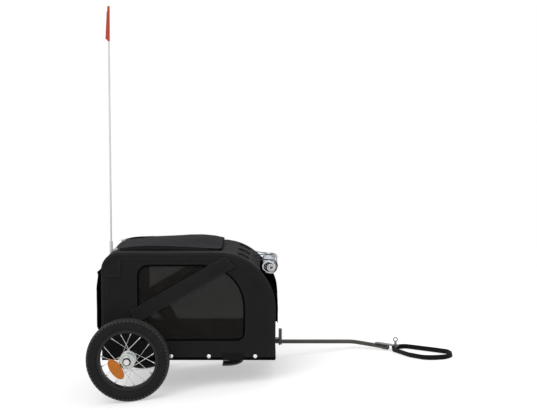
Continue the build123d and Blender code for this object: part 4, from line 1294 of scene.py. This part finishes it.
class TRAILER_OT_roof(bpy.types.Operator):
    """The roof cloth, its hatch with skirts and zip, and the floor's cover"""

    bl_idname = "trailer.roof"
    bl_label = "Roof and floor"

    def execute(self, context):
        settings = context.scene.trailer_cloth
        start, end = run_at_height(ROOF_REAR_Z, False), front_run(ROOF_FRONT_ANGLE)
        outline = rectangle(start, end, CLOTH_HALF)
        hole = rounded(rectangle(run_at_x(HOLE_REAR), run_at_x(HOLE_FRONT), HOLE_HALF), (6,) * 4, 3)

        def lie(run, y):
            """Where a point of the roof cloth lies."""
            sag = fade(190 - abs(y), 4, 60)
            slack = 0.7 * sag * soft_noise(run, y, 1.0, 60) + 0.3 * soft_noise(run, y, 6.0, 22)
            return skin(run, y, -1.2 - 0.8 * sag + slack)

        roof = cloth_piece("roof_cloth", outline, [hole], lie, settings.thickness, "roof cloth", 8)
        seat(roof, "trailer", ["roof_panel"])
        declared(roof)
        self.tabs()
        self.hatch(settings)
        self.floor()
        return {"FINISHED"}

    def tabs(self):
        """The loose ends of the roll's straps on the front of the roof."""
        for k, y in enumerate(TABS_AT):
            line = []
            for i in range(17):
                arch = 2.0 * math.sin(math.pi * i / 16)
                line.append(skin(run_at_x(TABS_FROM) + TABS_LONG * i / 16, y, 0.9 + arch))
            taped(f"roof_tab_{k}", line, oval(9.0, 1.2, 12, 0.5), skin_up(408))

    def hatch(self, settings):
        """The hatch's puffed cover, with its skirt, binding, zips and sliders, and black strips of painted
        shade at its front corners and fold.
        """
        outline = rounded(rectangle(0, HATCH_LONG, HATCH_HALF), (3, 16, 16, 3), 6)
        cover = cloth_piece("hatch_cloth", outline, [], hatch_point, settings.thickness, "roof cloth", 8)
        seat(cover, "roof_hatch", ["roof_hatch"])
        edge = divided(rounded(rectangle(2, HATCH_LONG, HATCH_HALF), (2, 16, 16, 2), 6), 6)
        cut = next(i for i, p in enumerate(edge) if p[0] > 4)
        edge = [p for p in edge[cut:] + edge[:cut] if p[0] > 1.0]
        skirt = self.skirt(edge)
        ahead = [p for p in edge if p[0] > HATCH_LONG - 14]
        line = [hatch_point(along, y, 0.2) for along, y in ahead]
        binding = taped("hatch_binding", line, oval(2.2, 1.5, 10, 0.8), (0, 0, 1), body="roof_hatch")
        parts = []
        for _, side in SIDES:
            beside = [p for p in edge if p[0] <= HATCH_LONG - 14 and p[1] * side > 0]
            line = [hatch_point(along, y, 0.2) for along, y in beside]
            parts.append(swept(line, oval(1.2, 1.0, 8, 0.8), up=(0, 0, 1)))
        verts, faces, uv = joined(parts)
        hem = shaped("hatch_hem", verts, faces, "roof cloth", uv)
        seat(hem, "roof_hatch")
        declared(cover)
        self.zips()
        self.corners()
        spots = []
        for _, side in SIDES:
            at = (HATCH_REAR - 13, side * (HATCH_HALF + 13), 531.2)
            spots.append((at, (-0.35, 0, 1), (-1, 0, 0)))
        made = repeated("hatch_sliders", spots, {"Pull": 0.006}, slider_shape, "zipper metal")
        seat(made, "trailer")

    def skirt(self, edge):
        """The skirt that hangs from the hatch's edge: tucked in ahead, slanting out beside."""
        skirt = []
        for along, y in edge:
            top = Vector(hatch_point(along, y, -0.4))
            floor_z = roof_height(top.x)
            skirt.append((top, max(0.0, top.z - floor_z - 1.4)))
        rows = 5
        verts, faces, uv = [], [], []
        run = 0.0
        for i, (top, drop) in enumerate(skirt):
            if i:
                run += (top - skirt[i - 1][0]).length
            for row in range(rows):
                share = row / (rows - 1)
                tuck = 0.9 * math.sin(math.pi * share) + 0.5 * soft_noise(run, share * 20, 4.0, 22)
                ahead = top.x > HATCH_FRONT - 12
                out = -0.6 - tuck if ahead else -0.6 + min(7.0, drop) * share
                spot = top + Vector((-0.6 if ahead else 0, math.copysign(out, top.y), -drop * share))
                verts.append(spot)
                uv.append((run / 1000, share * drop / 1000))
        for i in range(len(skirt) - 1):
            for row in range(rows - 1):
                a = i * rows + row
                faces.append((a, a + rows, a + rows + 1, a + 1))
        made = thicken(shaped("hatch_skirt", verts, faces, "roof cloth", uv, closed=False), 1.0)
        return seat(made, "roof_hatch")

    def zips(self):
        """A zip beside each edge of the hatch."""
        for name, side in SIDES:
            line = []
            for k in range(48):
                x = HATCH_REAR + 2 + (HATCH_FRONT - HATCH_REAR - 16) * k / 47
                line.append(((x, side * (HATCH_HALF + 7.5), roof_height(x) - 0.2), (0, 0, 1)))
            zip_line(f"hatch_zip_{name}", line, "trailer")

    def corners(self):
        """Black strips of painted shade: in the gap under each of the hatch's lifted front corners, and over
        the fold along its left edge near the hinge.
        """
        count = 12
        for name, side in SIDES:
            verts = []
            # A strip under the edge, deeper towards the corner: painted shade in the gap beneath the lifted
            # corner.
            for k in range(count + 1):
                along = (0.88 + 0.12 * k / count) * HATCH_LONG
                x, y, z = hatch_point(along, side * (HATCH_HALF + 1.2), -0.5)
                outer, low = y + side * 1.1, z - 7.0 * k / count - 1.5
                verts += [(x, y, z), (x, outer, z), (x, outer, low), (x, y, low)]
            self.strip(f"hatch_corner_{name}", verts)
        # A strip over the hatch's left rear, widest a little ahead of the hinge: painted shade of the fold
        # there.
        verts = []
        for k in range(count + 1):
            share = 0.04 + 0.24 * k / count
            wide = 4 + 40 * math.sin(math.pi * (0.25 + 0.75 * k / count))
            inner = HATCH_HALF - wide
            for y, lift in ((HATCH_HALF, 1.9), (HATCH_HALF, 0.2), (inner, 0.2), (inner, 1.9)):
                verts.append(hatch_point(share * HATCH_LONG, y, lift))
        self.strip("hatch_fold_tape", verts)

    def strip(self, name, verts):
        """A black strip of painted shade on the hatch, from its corners four at a time."""
        count = len(verts) // 4 - 1
        faces = []
        for k in range(0, count * 4, 4):
            faces += [(k + m, k + (m + 1) % 4, k + 4 + (m + 1) % 4, k + 4 + m) for m in range(4)]
        faces += [(3, 2, 1, 0), tuple(count * 4 + m for m in range(4))]
        uv = [(v[0] / 1000, v[2] / 1000) for v in verts]
        seat(shaped(name, verts, faces, "black flap cloth and painted shade", uv), "roof_hatch")

    def floor(self):
        """The floor's cloth, sewn in channels over its board."""
        outline = rounded(rectangle(FLOOR_REAR, FLOOR_FRONT, FLOOR_HALF), (14,) * 4, 4)

        def lie(x, y):
            """Where a point of the floor's cover lies."""
            channel = abs(math.sin(math.pi * x / CHANNEL_PITCH)) ** 0.5
            inside_edge = fade(min(x - FLOOR_REAR, FLOOR_FRONT - x, FLOOR_HALF - abs(y)), 0, 20)
            return (x, y, FLOOR_Z + 1.8 * channel * inside_edge + 0.3 * soft_noise(x, y, 8.0, 40))

        made = cloth_piece("floor_cover", outline, [], lie, 2.2, "floor cloth", 9)
        seat(made, "trailer", ["floor_board"])
        declared(made)


def skin_up(x):
    """The direction out of the roof at a distance ahead of the axle."""
    _, facing = on_outline(run_at_x(x))
    return (facing.x, 0, facing.y)


def roof_height(x):
    """The roof's height over a distance ahead of the axle."""
    return on_outline(run_at_x(x))[0].y


# ---- Front and rear ------------------------------------------------------------------------
ROLL_AT = Vector((512.0, 463.0))
ROLL_R = 20.5
ROLL_HALF = 124.0
ROLL_TURNS = 2.9
ROLL_STEPS = 26
ROLL_BANDS_AT = 75
# Angles above level round the front's arc: the flap's top and foot, and the door's hinge.
FLAP_TOP = 43.2
FLAP_FOOT = 30.6
DOOR_TOP = 29.6
REAR_HINGE_Z = 462.0
FRONT_SILL = 273.0
POCKET_LOW = 217.0
POCKET_HIGH = 443.0
POCKET_HALF = 120.0
POCKET_DEPTH = 28.5
FRONT_HALF = 185.0
REAR_HALF = 184.0
REAR_DOOR_LOW = 171.5


class TRAILER_OT_front(bpy.types.Operator):
    """The front: flap, door, lower cloth and the rolled rain cover in its straps"""

    bl_idname = "trailer.front"
    bl_label = "Front and rain cover"

    def execute(self, context):
        settings = context.scene.trailer_cloth
        self.cloths(settings)
        self.rain_cover()
        return {"FINISHED"}

    def cloths(self, settings):
        """The fixed flap over the door, the door itself and the cloth under its sill."""
        half = FRONT_HALF
        hinge = front_run(DOOR_TOP)
        top = rectangle(front_run(FLAP_TOP), front_run(FLAP_FOOT), half)
        door = rectangle(hinge, run_at_height(FRONT_SILL - 4, True), half)
        foot = run_at_height(FOOT_Z, True)
        sill = rectangle(run_at_height(FRONT_SILL, True), foot, CLOTH_HALF)

        def lie_flap(run, y):
            """Where a point of the flap lies, its top edge drawn in to the roof."""
            beside = fade(abs(y), 126, 150)
            drawn = fade(run, front_run(43), front_run(38)) * beside
            drawn = max(drawn, fade(run, front_run(33.6), front_run(30.9)))
            return skin(run, y, -0.6 + 7.6 * drawn + 0.4 * drawn * soft_noise(run, y, 2.0, 40))

        def lie_door(run, y):
            """Where a point of the door lies."""
            loose = fade(run, hinge, hinge + 40) * fade(half - abs(y), 0, 40)
            near_hinge = 1 - fade(run, hinge, hinge + 60)
            out = 7.0 - 3.5 * near_hinge + 0.9 * loose * soft_noise(run, y, 3.0, 70)
            return skin(run, y, out + 0.3 * soft_noise(run, y, 5, 25))

        def lie_sill(run, y):
            """Where a point of the lower cloth lies."""
            return skin(run, y, -1.0 + 0.5 * soft_noise(run, y, 4.0, 50))

        flap = cloth_piece("front_flap", top, [], lie_flap, settings.thickness, "black flap cloth and painted shade", 8)
        seat(flap, "trailer", ["front_panel"])
        declared(flap)
        made = cloth_piece("front_door_cloth", door, [], lie_door, settings.thickness, "black flap cloth and painted shade", 9)
        seat(made, "front_door", ["front_door"])
        lines = []
        for y in (-half + 2, half - 2):
            down = door[1][0] - hinge - 6
            lines.append([lie_door(hinge + 4 + down * k / 50, y) for k in range(51)])
        lines.append([lie_door(door[1][0] - 2, -half + 2 + (2 * half - 4) * k / 40) for k in range(41)])
        parts = [swept(line, oval(4.0, 1.2, 8, 0.7), up=(1, 0, 0.2)) for line in lines]
        verts, faces, uv = joined(parts)
        binding = shaped("front_door_binding", verts, faces, "binding tape", uv)
        seat(binding, "front_door")
        gussets = []
        for title, body, first, last in (
                ("door", "front_door", hinge, run_at_height(FRONT_SILL + 1, True)),
                ("flap", "trailer", front_run(38), front_run(FLAP_FOOT))):
            parts = []
            for side in (RIGHT, LEFT):
                line = [skin(first + (last - first) * k / 30, side * (half - 0.6), 0.2) for k in range(31)]
                parts.append(swept(line, oval(0.8, 6.4, 10, 0.5), up=(1, 0, 0.2)))
            verts, faces, uv = joined(parts)
            gussets.append(shaped(f"front_{title}_gusset", verts, faces, "black flap cloth and painted shade", uv))
            seat(gussets[-1], body)
        declared(made)
        made = cloth_piece("front_sill_cloth", sill, [], lie_sill, settings.thickness, "coated cloth", 9)
        seat(made, "trailer", ["front_lower_panel"])
        line = [skin(run_at_height(HEM_Z, True), -190 + 380 * k / 40, 0.2) for k in range(41)]
        hem = taped("front_hem", line, oval(5.4, 1.5, 10, 0.6), (1, 0, 0))
        declared(made)

    def rain_cover(self):
        """Clear vinyl from the roof's front, rolled up and bound at its ends."""
        route = [
            (443.5, 490.4), (453, 491.4), (465, 491.8), (478, 491.8), (492, 491.8), (506, 491.6),
            (516, 490.8), (525.0, 488.0), (531.5, 483.0), (535.3, 476.0), (536.5, 468.0)]
        loose = len(route)
        for k in range(1, int(ROLL_TURNS * ROLL_STEPS)):
            share = k / (ROLL_TURNS * ROLL_STEPS)
            turn = math.radians(4) - share * ROLL_TURNS * 2 * math.pi
            radius = ROLL_R + 1.5 - 1.5 * fade(share, 0, 0.3) - share * 16.5
            if 0.26 < share * ROLL_TURNS < 0.86:
                radius += 12.0 * math.sin(math.pi * (share * ROLL_TURNS - 0.26) / 0.6) ** 2
            route.append((ROLL_AT.x + radius * math.cos(turn), ROLL_AT.y + radius * math.sin(turn)))
        runs = [0.0]
        for a, b in zip(route, route[1:]):
            runs.append(runs[-1] + math.dist(a, b))
        half = ROLL_HALF
        rows = 32
        verts, uv = [], []
        for i, (x, z) in enumerate(route):
            for j in range(rows + 1):
                y = -half + 2 * half * j / rows
                lift = 0.8 * soft_noise(runs[i], y, 2.0, 40)
                slack = -8.0 * fade(y, -half, half) * math.sin(math.pi * min(i, loose) / loose)
                verts.append((x + lift * 0.5, y, z + slack + lift * (0.5 if i > 3 else 0)))
                uv.append((runs[i] / 1000, y / 1000))
        faces = grid_faces(len(route), rows + 1)
        made = thicken(shaped("rain_film", verts, faces, "clear vinyl", uv, closed=False), 0.7, 70)
        seat(made, "trailer", ["rain_cover"])
        for name, material, first, last, thick in (
                ("rain_film_binding", "film edge", 0, loose + 6, 1.6),
                ("rain_film_folds", "folded vinyl", loose + 3, len(route), 2.3)):
            parts = []
            for j in (0, rows):
                line = [verts[i * (rows + 1) + j] for i in range(first, last)]
                parts.append(swept(line, oval(thick, 1.4, 8, 0.8), up=(0, 1, 0)))
            edge, faces, uv = joined(parts)
            seat(shaped(name, edge, faces, material, uv), "trailer")
        for name, side in SIDES:
            y = side * ROLL_BANDS_AT
            line = []
            for k in range(30):
                turn = math.radians(98) - math.radians(250) * k / 29
                out = ROLL_R + 1.6
                line.append((ROLL_AT.x + out * math.cos(turn), y, ROLL_AT.y + out * math.sin(turn)))
            line = [(457, y, 481.0), (470, y, 483.4), (486, y, 486.2)] + line
            verts, faces, uv = ribbon(line, 9.0, 1.0)
            band = shaped(f"roll_band_{name}", verts, faces, "webbing", uv)
            seat(band, "trailer", [f"roll_strap_{name}"])


def ribbon(line, half_wide, half_thick):
    """A flat band lying across the trailer's width along a line in a side plane."""
    verts, faces, uv = [], [], []
    line = [Vector(p) for p in line]
    run = 0.0
    ring = oval(half_wide, half_thick, 12, 0.45)
    for i, p in enumerate(line):
        along = (line[min(i + 1, len(line) - 1)] - line[max(i - 1, 0)]).normalized()
        outward = Vector((-along.z, 0, along.x))
        run += (p - line[i - 1]).length if i else 0
        for a, b in ring:
            verts.append(p + Vector((0, a, 0)) + outward * b)
            uv.append((run / 1000, a / 1000))
    sides = len(ring)
    for i in range(len(line) - 1):
        for k in range(sides):
            m = (k + 1) % sides
            a, b = i * sides, (i + 1) * sides
            faces.append((a + k, a + m, b + m, b + k))
    faces.append(tuple(range(sides))[::-1])
    faces.append(tuple((len(line) - 1) * sides + k for k in range(sides)))
    return verts, faces, uv


class TRAILER_OT_rear(bpy.types.Operator):
    """The rear: door, its pocket, and the cloth under its sill"""

    bl_idname = "trailer.rear"
    bl_label = "Rear door and pocket"

    def execute(self, context):
        settings = context.scene.trailer_cloth
        half = REAR_HALF
        corners = [(-half, REAR_DOOR_LOW), (half, REAR_DOOR_LOW), (half, REAR_HINGE_Z), (-half, REAR_HINGE_Z)]
        door = rounded(corners, (24, 24, 3, 3), 6)

        def lie_door(y, z):
            """Where a point of the rear door lies."""
            loose = fade(half - abs(y), 0, 40) * fade(z, 171, 215) * fade(REAR_HINGE_Z - z, 0, 40)
            ahead = 1.0 + 0.8 * loose * soft_noise(y, z, 3.0, 70) - 0.3 * soft_noise(y, z, 5.0, 25)
            return (REAR_X + ahead, y, z)

        made = cloth_piece("rear_door_cloth", door, [], lie_door, settings.thickness, "coated cloth", 9)
        seat(made, "rear_door", ["rear_door"])
        edge = [p for p in divided(door, 7) if p[1] < REAR_HINGE_Z - 2]
        cut = next(i for i in range(len(edge)) if math.dist(edge[i - 1], edge[i]) > 30)
        edge = edge[cut:] + edge[:cut]
        line = [(REAR_X - 0.2, y * 0.985, z + (3 if z < 180 else 0)) for y, z in edge]
        binding = taped("rear_door_binding", line, oval(4.0, 1.5, 8, 0.7), (-1, 0, 0), body="rear_door")
        declared(made)
        self.pocket()
        sill = [(-CLOTH_HALF, FOOT_Z), (CLOTH_HALF, FOOT_Z), (CLOTH_HALF, 165), (-CLOTH_HALF, 165)]

        def lie_sill(y, z):
            """Where a point of the rear's lower cloth lies."""
            return (REAR_X + 1.0 + 0.3 * soft_noise(y, z, 4.0, 40), y, z)

        made = cloth_piece("rear_sill_cloth", sill, [], lie_sill, settings.thickness, "coated cloth", 8)
        seat(made, "trailer", ["rear_lower_panel"])
        line = [(REAR_X - 0.2, -190 + 380 * k / 40, HEM_Z) for k in range(41)]
        hem = taped("rear_hem", line, oval(5.4, 1.5, 10, 0.6), (-1, 0, 0))
        declared(made)
        return {"FINISHED"}

    def pocket(self):
        """A deep pocket that sags towards its foot, its mouth gathered by elastic."""
        inner = POCKET_HALF - 3
        plan = rounded([
            (-POCKET_HALF, 0), (-inner, POCKET_DEPTH), (inner, POCKET_DEPTH), (POCKET_HALF, 0)],
            (0.01, 15, 15, 0.01), 7)
        plan = divided([p for p in plan if p[1] > 0.02 or abs(p[0]) > 119.9], 7, closed=False)
        up = 30
        verts, uv = [], []
        for j in range(up + 1):
            share = j / up
            foot = math.sin(math.pi / 2 * min(1.0, 0.12 + share / 0.13)) ** 0.7
            run = 0.0
            for i, (y, deep) in enumerate(plan):
                run += math.dist(plan[i - 1], plan[i]) if i else 0.0
                full = deep / POCKET_DEPTH
                sag = 1 - 0.22 * fade(share, 0.72, 1.0) + 0.03 * soft_noise(y, share * 200, 2.0, 50)
                gather = 0.7 * math.sin(y / 3.4) * fade(share, 0.9, 1.0)
                out = deep * foot * min(1.0, sag) + gather * full
                drop = 4 * full * share * (1 - (y / POCKET_HALF) ** 2)
                z = POCKET_LOW + (POCKET_HIGH - POCKET_LOW) * share - drop
                verts.append((REAR_X - 1.2 - out, y, z))
                uv.append((run / 1000, z / 1000))
        faces = grid_faces(up + 1, len(plan))
        made = shaped("pocket_cloth", verts, faces, "black flap cloth and painted shade", uv, closed=False)
        thicken(made, 1.4, 60, offset=1)
        seat(made, "rear_door", ["rear_pocket"])
        line = [(v[0] - 0.4, v[1], v[2] - 1) for v in verts[-len(plan):]]
        hem = taped("pocket_elastic", line, oval(1.8, 5.0, 10, 0.7), (0, 0, 1), body="rear_door")


# ---- Drawbar, hook, strap and flag --------------------------------------------------------
PIN_AT = (990.5, 69.9)
# The strap's corners as it lies: ahead of the pin, to its left, and each bend's radius.
STRAP_CORNERS = (
    (-12, 12, 11), (38, 12, 40), (178, -168, 60), (190, -222, 30), (160, -250, 30), (96, -236, 90),
    (38, -150, 120), (-12, -22, 22),
)
# The stowing hook's cradle: its middle, its reach each way, and the ribs' place across.
HOOK_AT = (350, 136)
HOOK_REACH = (62.3, 22.3)
HOOK_Y = -166.5
POLE_AT = (-113.0, 205.0)
FLAG_TOP = 1428.0


def rib_shape(tree, given):
    """One rib across the hook's cradle."""
    rib = node(tree, "GeometryNodeMeshCone", {
        "Vertices": 6, "Radius Top": 0.0011, "Radius Bottom": 0.0011, "Depth": given.outputs["Length"]})
    return rib.outputs["Mesh"]


class TRAILER_OT_drawbar(bpy.types.Operator):
    """The drawbar's finishes and fittings, its stowing hook and the hitch strap"""

    bl_idname = "trailer.drawbar"
    bl_label = "Drawbar and hitch"

    def execute(self, context):
        for part in ("base_rail", "hoop", "brace", "axle_bracket"):
            dress("black enamel", f"{part}_right", f"{part}_left")
        dress("black enamel", "base_cross_tubes", "roof_cross_tubes", "drawbar_socket", "drawbar_bracket")
        dress("drawbar enamel", "drawbar", "drawbar_cap")
        dress("dull steel", "drawbar_pin", "hitch_plate", "hitch_pin")
        dress("hook nylon", "drawbar_hook")
        self.hook()
        self.strap()
        return {"FINISHED"}

    def hook(self):
        """Ribs along the stowing hook, and a black strip of webbing over the hem above it."""
        spots = []
        for k in range(9):
            turn = math.radians(-90 + 80 * k / 8)
            x = HOOK_AT[0] + HOOK_REACH[0] * math.cos(turn)
            z = HOOK_AT[1] + HOOK_REACH[1] * math.sin(turn)
            spots.append(((x, HOOK_Y, z), (0, 1, 0), (1, 0, 0)))
        made = repeated("hook_ribs", spots, {"Length": 0.074}, rib_shape, "hook nylon")
        seat(made, "trailer")
        line = [(336.5 + 75 * k / 20, -207.2, 148.0) for k in range(21)]
        taped("hook_patch", line, oval(12.5, 1.0, 12, 0.4), (0, -1, 0), "webbing")

    def strap(self):
        """The webbing loop round the pin's foot, standing on its edge on the ground."""
        pin = placed(PIN_AT[0], PIN_AT[1], 123) * 1000
        corners = [(pin.x + ahead, pin.y + left) for ahead, left, _ in STRAP_CORNERS]
        loop = divided(rounded(corners, [bend for _, _, bend in STRAP_CORNERS], 10), 5)
        line = [Vector((x, y, 9.3)) for x, y in loop]
        ring = oval(1.9, 9.0, 12, 0.45)
        verts, faces, uv = swept(line, ring, closed=True, up=(0, 0, 1))
        leaned = []
        for i, v in enumerate(verts):
            x, y = loop[i // len(ring)]
            lean = 2.2 * soft_noise(x, y, 1.0, 70) * (v.z / 15)
            leaned.append(Vector((v.x + lean, v.y + lean, max(v.z, 0.4))) / 1000)
        made = shaped("hitch_webbing", leaned, faces, "webbing", uv, level=False)
        seat(made, "trailer", ["hitch_strap"])


class TRAILER_OT_flag(bpy.types.Operator):
    """The flag, its pole and the pole's socket"""

    bl_idname = "trailer.flag"
    bl_label = "Flag"

    def execute(self, context):
        dress("pole fibreglass", "flag_pole", "flag_socket")
        tall, reach = 131.0, 82.0
        outline = [(0, FLAG_TOP), (0, FLAG_TOP - tall), (reach, FLAG_TOP - tall * 0.62)]

        def lie(out, z):
            """Where a point of the pennant hangs: furled in folds behind its pole."""
            down = (FLAG_TOP - z) / tall
            back = 2.0 + 11.5 * (1 - math.exp(-out / 22)) * (0.35 + 0.75 * down)
            turn, full = out / 4.2 + down * 1.4, fade(out, 0, 14)
            left = 4.6 + 0.22 * out + 2.6 * full * math.cos(turn)
            drop = 0.42 * out * fade(out, 0, 40)
            return (POLE_AT[0] - back + 3.4 * full * math.sin(turn), POLE_AT[1] + left, z - drop)

        flag = cloth_piece("pennant", outline, [], lie, 0.7, "pennant nylon", 4)
        seat(flag, "trailer", ["flag"])
        over = 2.6
        line = [
            (POLE_AT[0] - k / 20, POLE_AT[1] + 0.4, FLAG_TOP + over - (tall + over) * k / 20)
            for k in range(21)]
        sleeve = taped(
            "pennant_sleeve", line, oval(4.8, 4.8, 12, 1.0), (1, 0, 0), "pennant nylon")
        declared(flag)
        return {"FINISHED"}


# ---- Studio ----------------------------------------------------------------------------------
# The lamps: name, place in metres, size in metres, power in watts.
LAMPS = (
    ("key", (-1.8, -3.6, 4.2), 4.0, 75.0),
    ("top", (0.4, 0.6, 4.6), 4.0, 30.0),
    ("fill", (3.4, -3.0, 2.0), 3.0, 22.0),
)


def studio_white(tree, plain, lit):
    """Mixes a shader seen by the camera, in gloss and through glass with a plain one."""
    path = node(tree, "ShaderNodeLightPath")
    seen = node(tree, "ShaderNodeMath", {0: path.outputs["Is Camera Ray"], 1: path.outputs["Is Glossy Ray"]},
                operation="MAXIMUM")
    seen = node(tree, "ShaderNodeMath", {0: seen.outputs["Value"], 1: path.outputs["Is Transmission Ray"]},
                operation="MAXIMUM")
    return node(tree, "ShaderNodeMixShader", {0: seen.outputs["Value"], 1: plain, 2: lit}).outputs["Shader"]


class TRAILER_OT_stage(bpy.types.Operator):
    """The floor, the lamps, the world and the camera"""

    bl_idname = "trailer.stage"
    bl_label = "Studio and camera"

    def execute(self, context):
        settings = context.scene.trailer_stage
        scene = context.scene
        world = bpy.data.worlds.new("studio")
        scene.world = world
        world.use_nodes = True
        tree = world.node_tree
        tree.nodes.clear()
        dim = node(tree, "ShaderNodeBackground", {"Color": (1, 1, 1, 1), "Strength": 0.55})
        white = node(tree, "ShaderNodeBackground", {"Color": (1, 1, 1, 1), "Strength": 1.0})
        sky = studio_white(tree, dim.outputs["Background"], white.outputs["Background"])
        node(tree, "ShaderNodeOutputWorld", {"Surface": sky})

        paper = bpy.data.materials.new("studio paper")
        paper.use_nodes = True
        tree = paper.node_tree
        tree.nodes.clear()
        place = node(tree, "ShaderNodeTexCoord").outputs["Object"]
        reach = node(tree, "ShaderNodeVectorMath", {0: place}, operation="LENGTH")
        far = node(
            tree, "ShaderNodeMapRange", {"Value": reach.outputs["Value"], "From Min": 0.9, "From Max": 2.2},
            interpolation_type="SMOOTHSTEP")
        flat = node(tree, "ShaderNodeBsdfDiffuse", {"Color": (0.8, 0.8, 0.8, 1)})
        glow = node(tree, "ShaderNodeEmission", {"Color": (1, 1, 1, 1), "Strength": 0.45})
        white = node(tree, "ShaderNodeEmission", {"Color": (1, 1, 1, 1), "Strength": 1.0})
        near = node(tree, "ShaderNodeAddShader", {0: flat.outputs["BSDF"], 1: glow.outputs["Emission"]})
        bright = node(tree, "ShaderNodeMixShader", {
            0: far.outputs["Result"], 1: near.outputs["Shader"], 2: white.outputs["Emission"]})
        top = studio_white(tree, flat.outputs["BSDF"], bright.outputs["Shader"])
        node(tree, "ShaderNodeOutputMaterial", {"Surface": top})
        mesh = bpy.data.meshes.new("studio_floor")
        wide = 30.0
        square = [(x, y, 0) for x, y in rectangle(-wide, wide, wide)]
        mesh.from_pydata(square, [], [(0, 1, 2, 3)])
        mesh.materials.append(paper)
        floor = bpy.data.objects.new("studio_floor", mesh)
        context.collection.objects.link(floor)

        for lamp in LAMPS:
            self.lamp(*lamp)

        lens = bpy.data.cameras.new("camera")
        lens.lens = settings.lens
        lens.sensor_width = 36.0
        camera = bpy.data.objects.new("camera", lens)
        context.collection.objects.link(camera)
        turn = Matrix.Rotation(NOSE_DOWN, 4, "Y") @ Matrix.Rotation(math.pi / 2 - settings.pitch, 4, "X")
        place = placed(settings.ahead, -settings.distance, settings.height)
        camera.matrix_world = Matrix.Translation(place) @ turn
        scene.camera = camera
        scene.view_settings.view_transform = "Standard"
        return {"FINISHED"}

    def lamp(self, name, place, size, power):
        """A soft square lamp that faces the trailer."""
        light = bpy.data.lights.new(name, "AREA")
        light.size = size
        light.energy = power
        made = bpy.data.objects.new(name, light)
        bpy.context.collection.objects.link(made)
        made.location = place
        aim = Vector((-0.2, 0, 0.3)) - Vector(place)
        made.rotation_euler = aim.to_track_quat("-Z", "Y").to_euler()


class TRAILER_PT_panel(bpy.types.Panel):
    """The trailer's pieces and settings"""

    bl_label = "Dog bike trailer"
    bl_idname = "TRAILER_PT_panel"
    bl_space_type = "VIEW_3D"
    bl_region_type = "UI"
    bl_category = "Trailer"

    def draw(self, context):
        layout = self.layout
        for group in (context.scene.trailer_cloth, context.scene.trailer_wheel, context.scene.trailer_stage):
            box = layout.box()
            for key in group.bl_rna.properties.keys():
                if key not in ("rna_type", "name"):
                    box.prop(group, key)
        for operator in OPERATORS:
            layout.operator(operator.bl_idname)


OPERATORS = (
    TRAILER_OT_stage, TRAILER_OT_wheels, TRAILER_OT_sides, TRAILER_OT_roof, TRAILER_OT_front, TRAILER_OT_rear,
    TRAILER_OT_drawbar, TRAILER_OT_flag,
)
CLASSES = (TRAILER_PG_cloth, TRAILER_PG_wheel, TRAILER_PG_stage, *OPERATORS, TRAILER_PT_panel)


def register():
    """Adds the classes and the scene's settings."""
    for made in CLASSES:
        bpy.utils.register_class(made)
    bpy.types.Scene.trailer_cloth = bpy.props.PointerProperty(type=TRAILER_PG_cloth)
    bpy.types.Scene.trailer_wheel = bpy.props.PointerProperty(type=TRAILER_PG_wheel)
    bpy.types.Scene.trailer_stage = bpy.props.PointerProperty(type=TRAILER_PG_stage)


def unregister():
    """Takes the settings and classes away."""
    del bpy.types.Scene.trailer_stage
    del bpy.types.Scene.trailer_wheel
    del bpy.types.Scene.trailer_cloth
    for made in reversed(CLASSES):
        bpy.utils.unregister_class(made)


def main():
    """Builds every piece in order."""
    register()
    scene = bpy.context.scene
    make_materials(scene.trailer_cloth, scene.trailer_wheel)
    bpy.ops.trailer.stage()
    bpy.ops.trailer.wheels()
    bpy.ops.trailer.sides()
    bpy.ops.trailer.roof()
    bpy.ops.trailer.front()
    bpy.ops.trailer.rear()
    bpy.ops.trailer.drawbar()
    bpy.ops.trailer.flag()


if __name__ == "__main__":
    main()
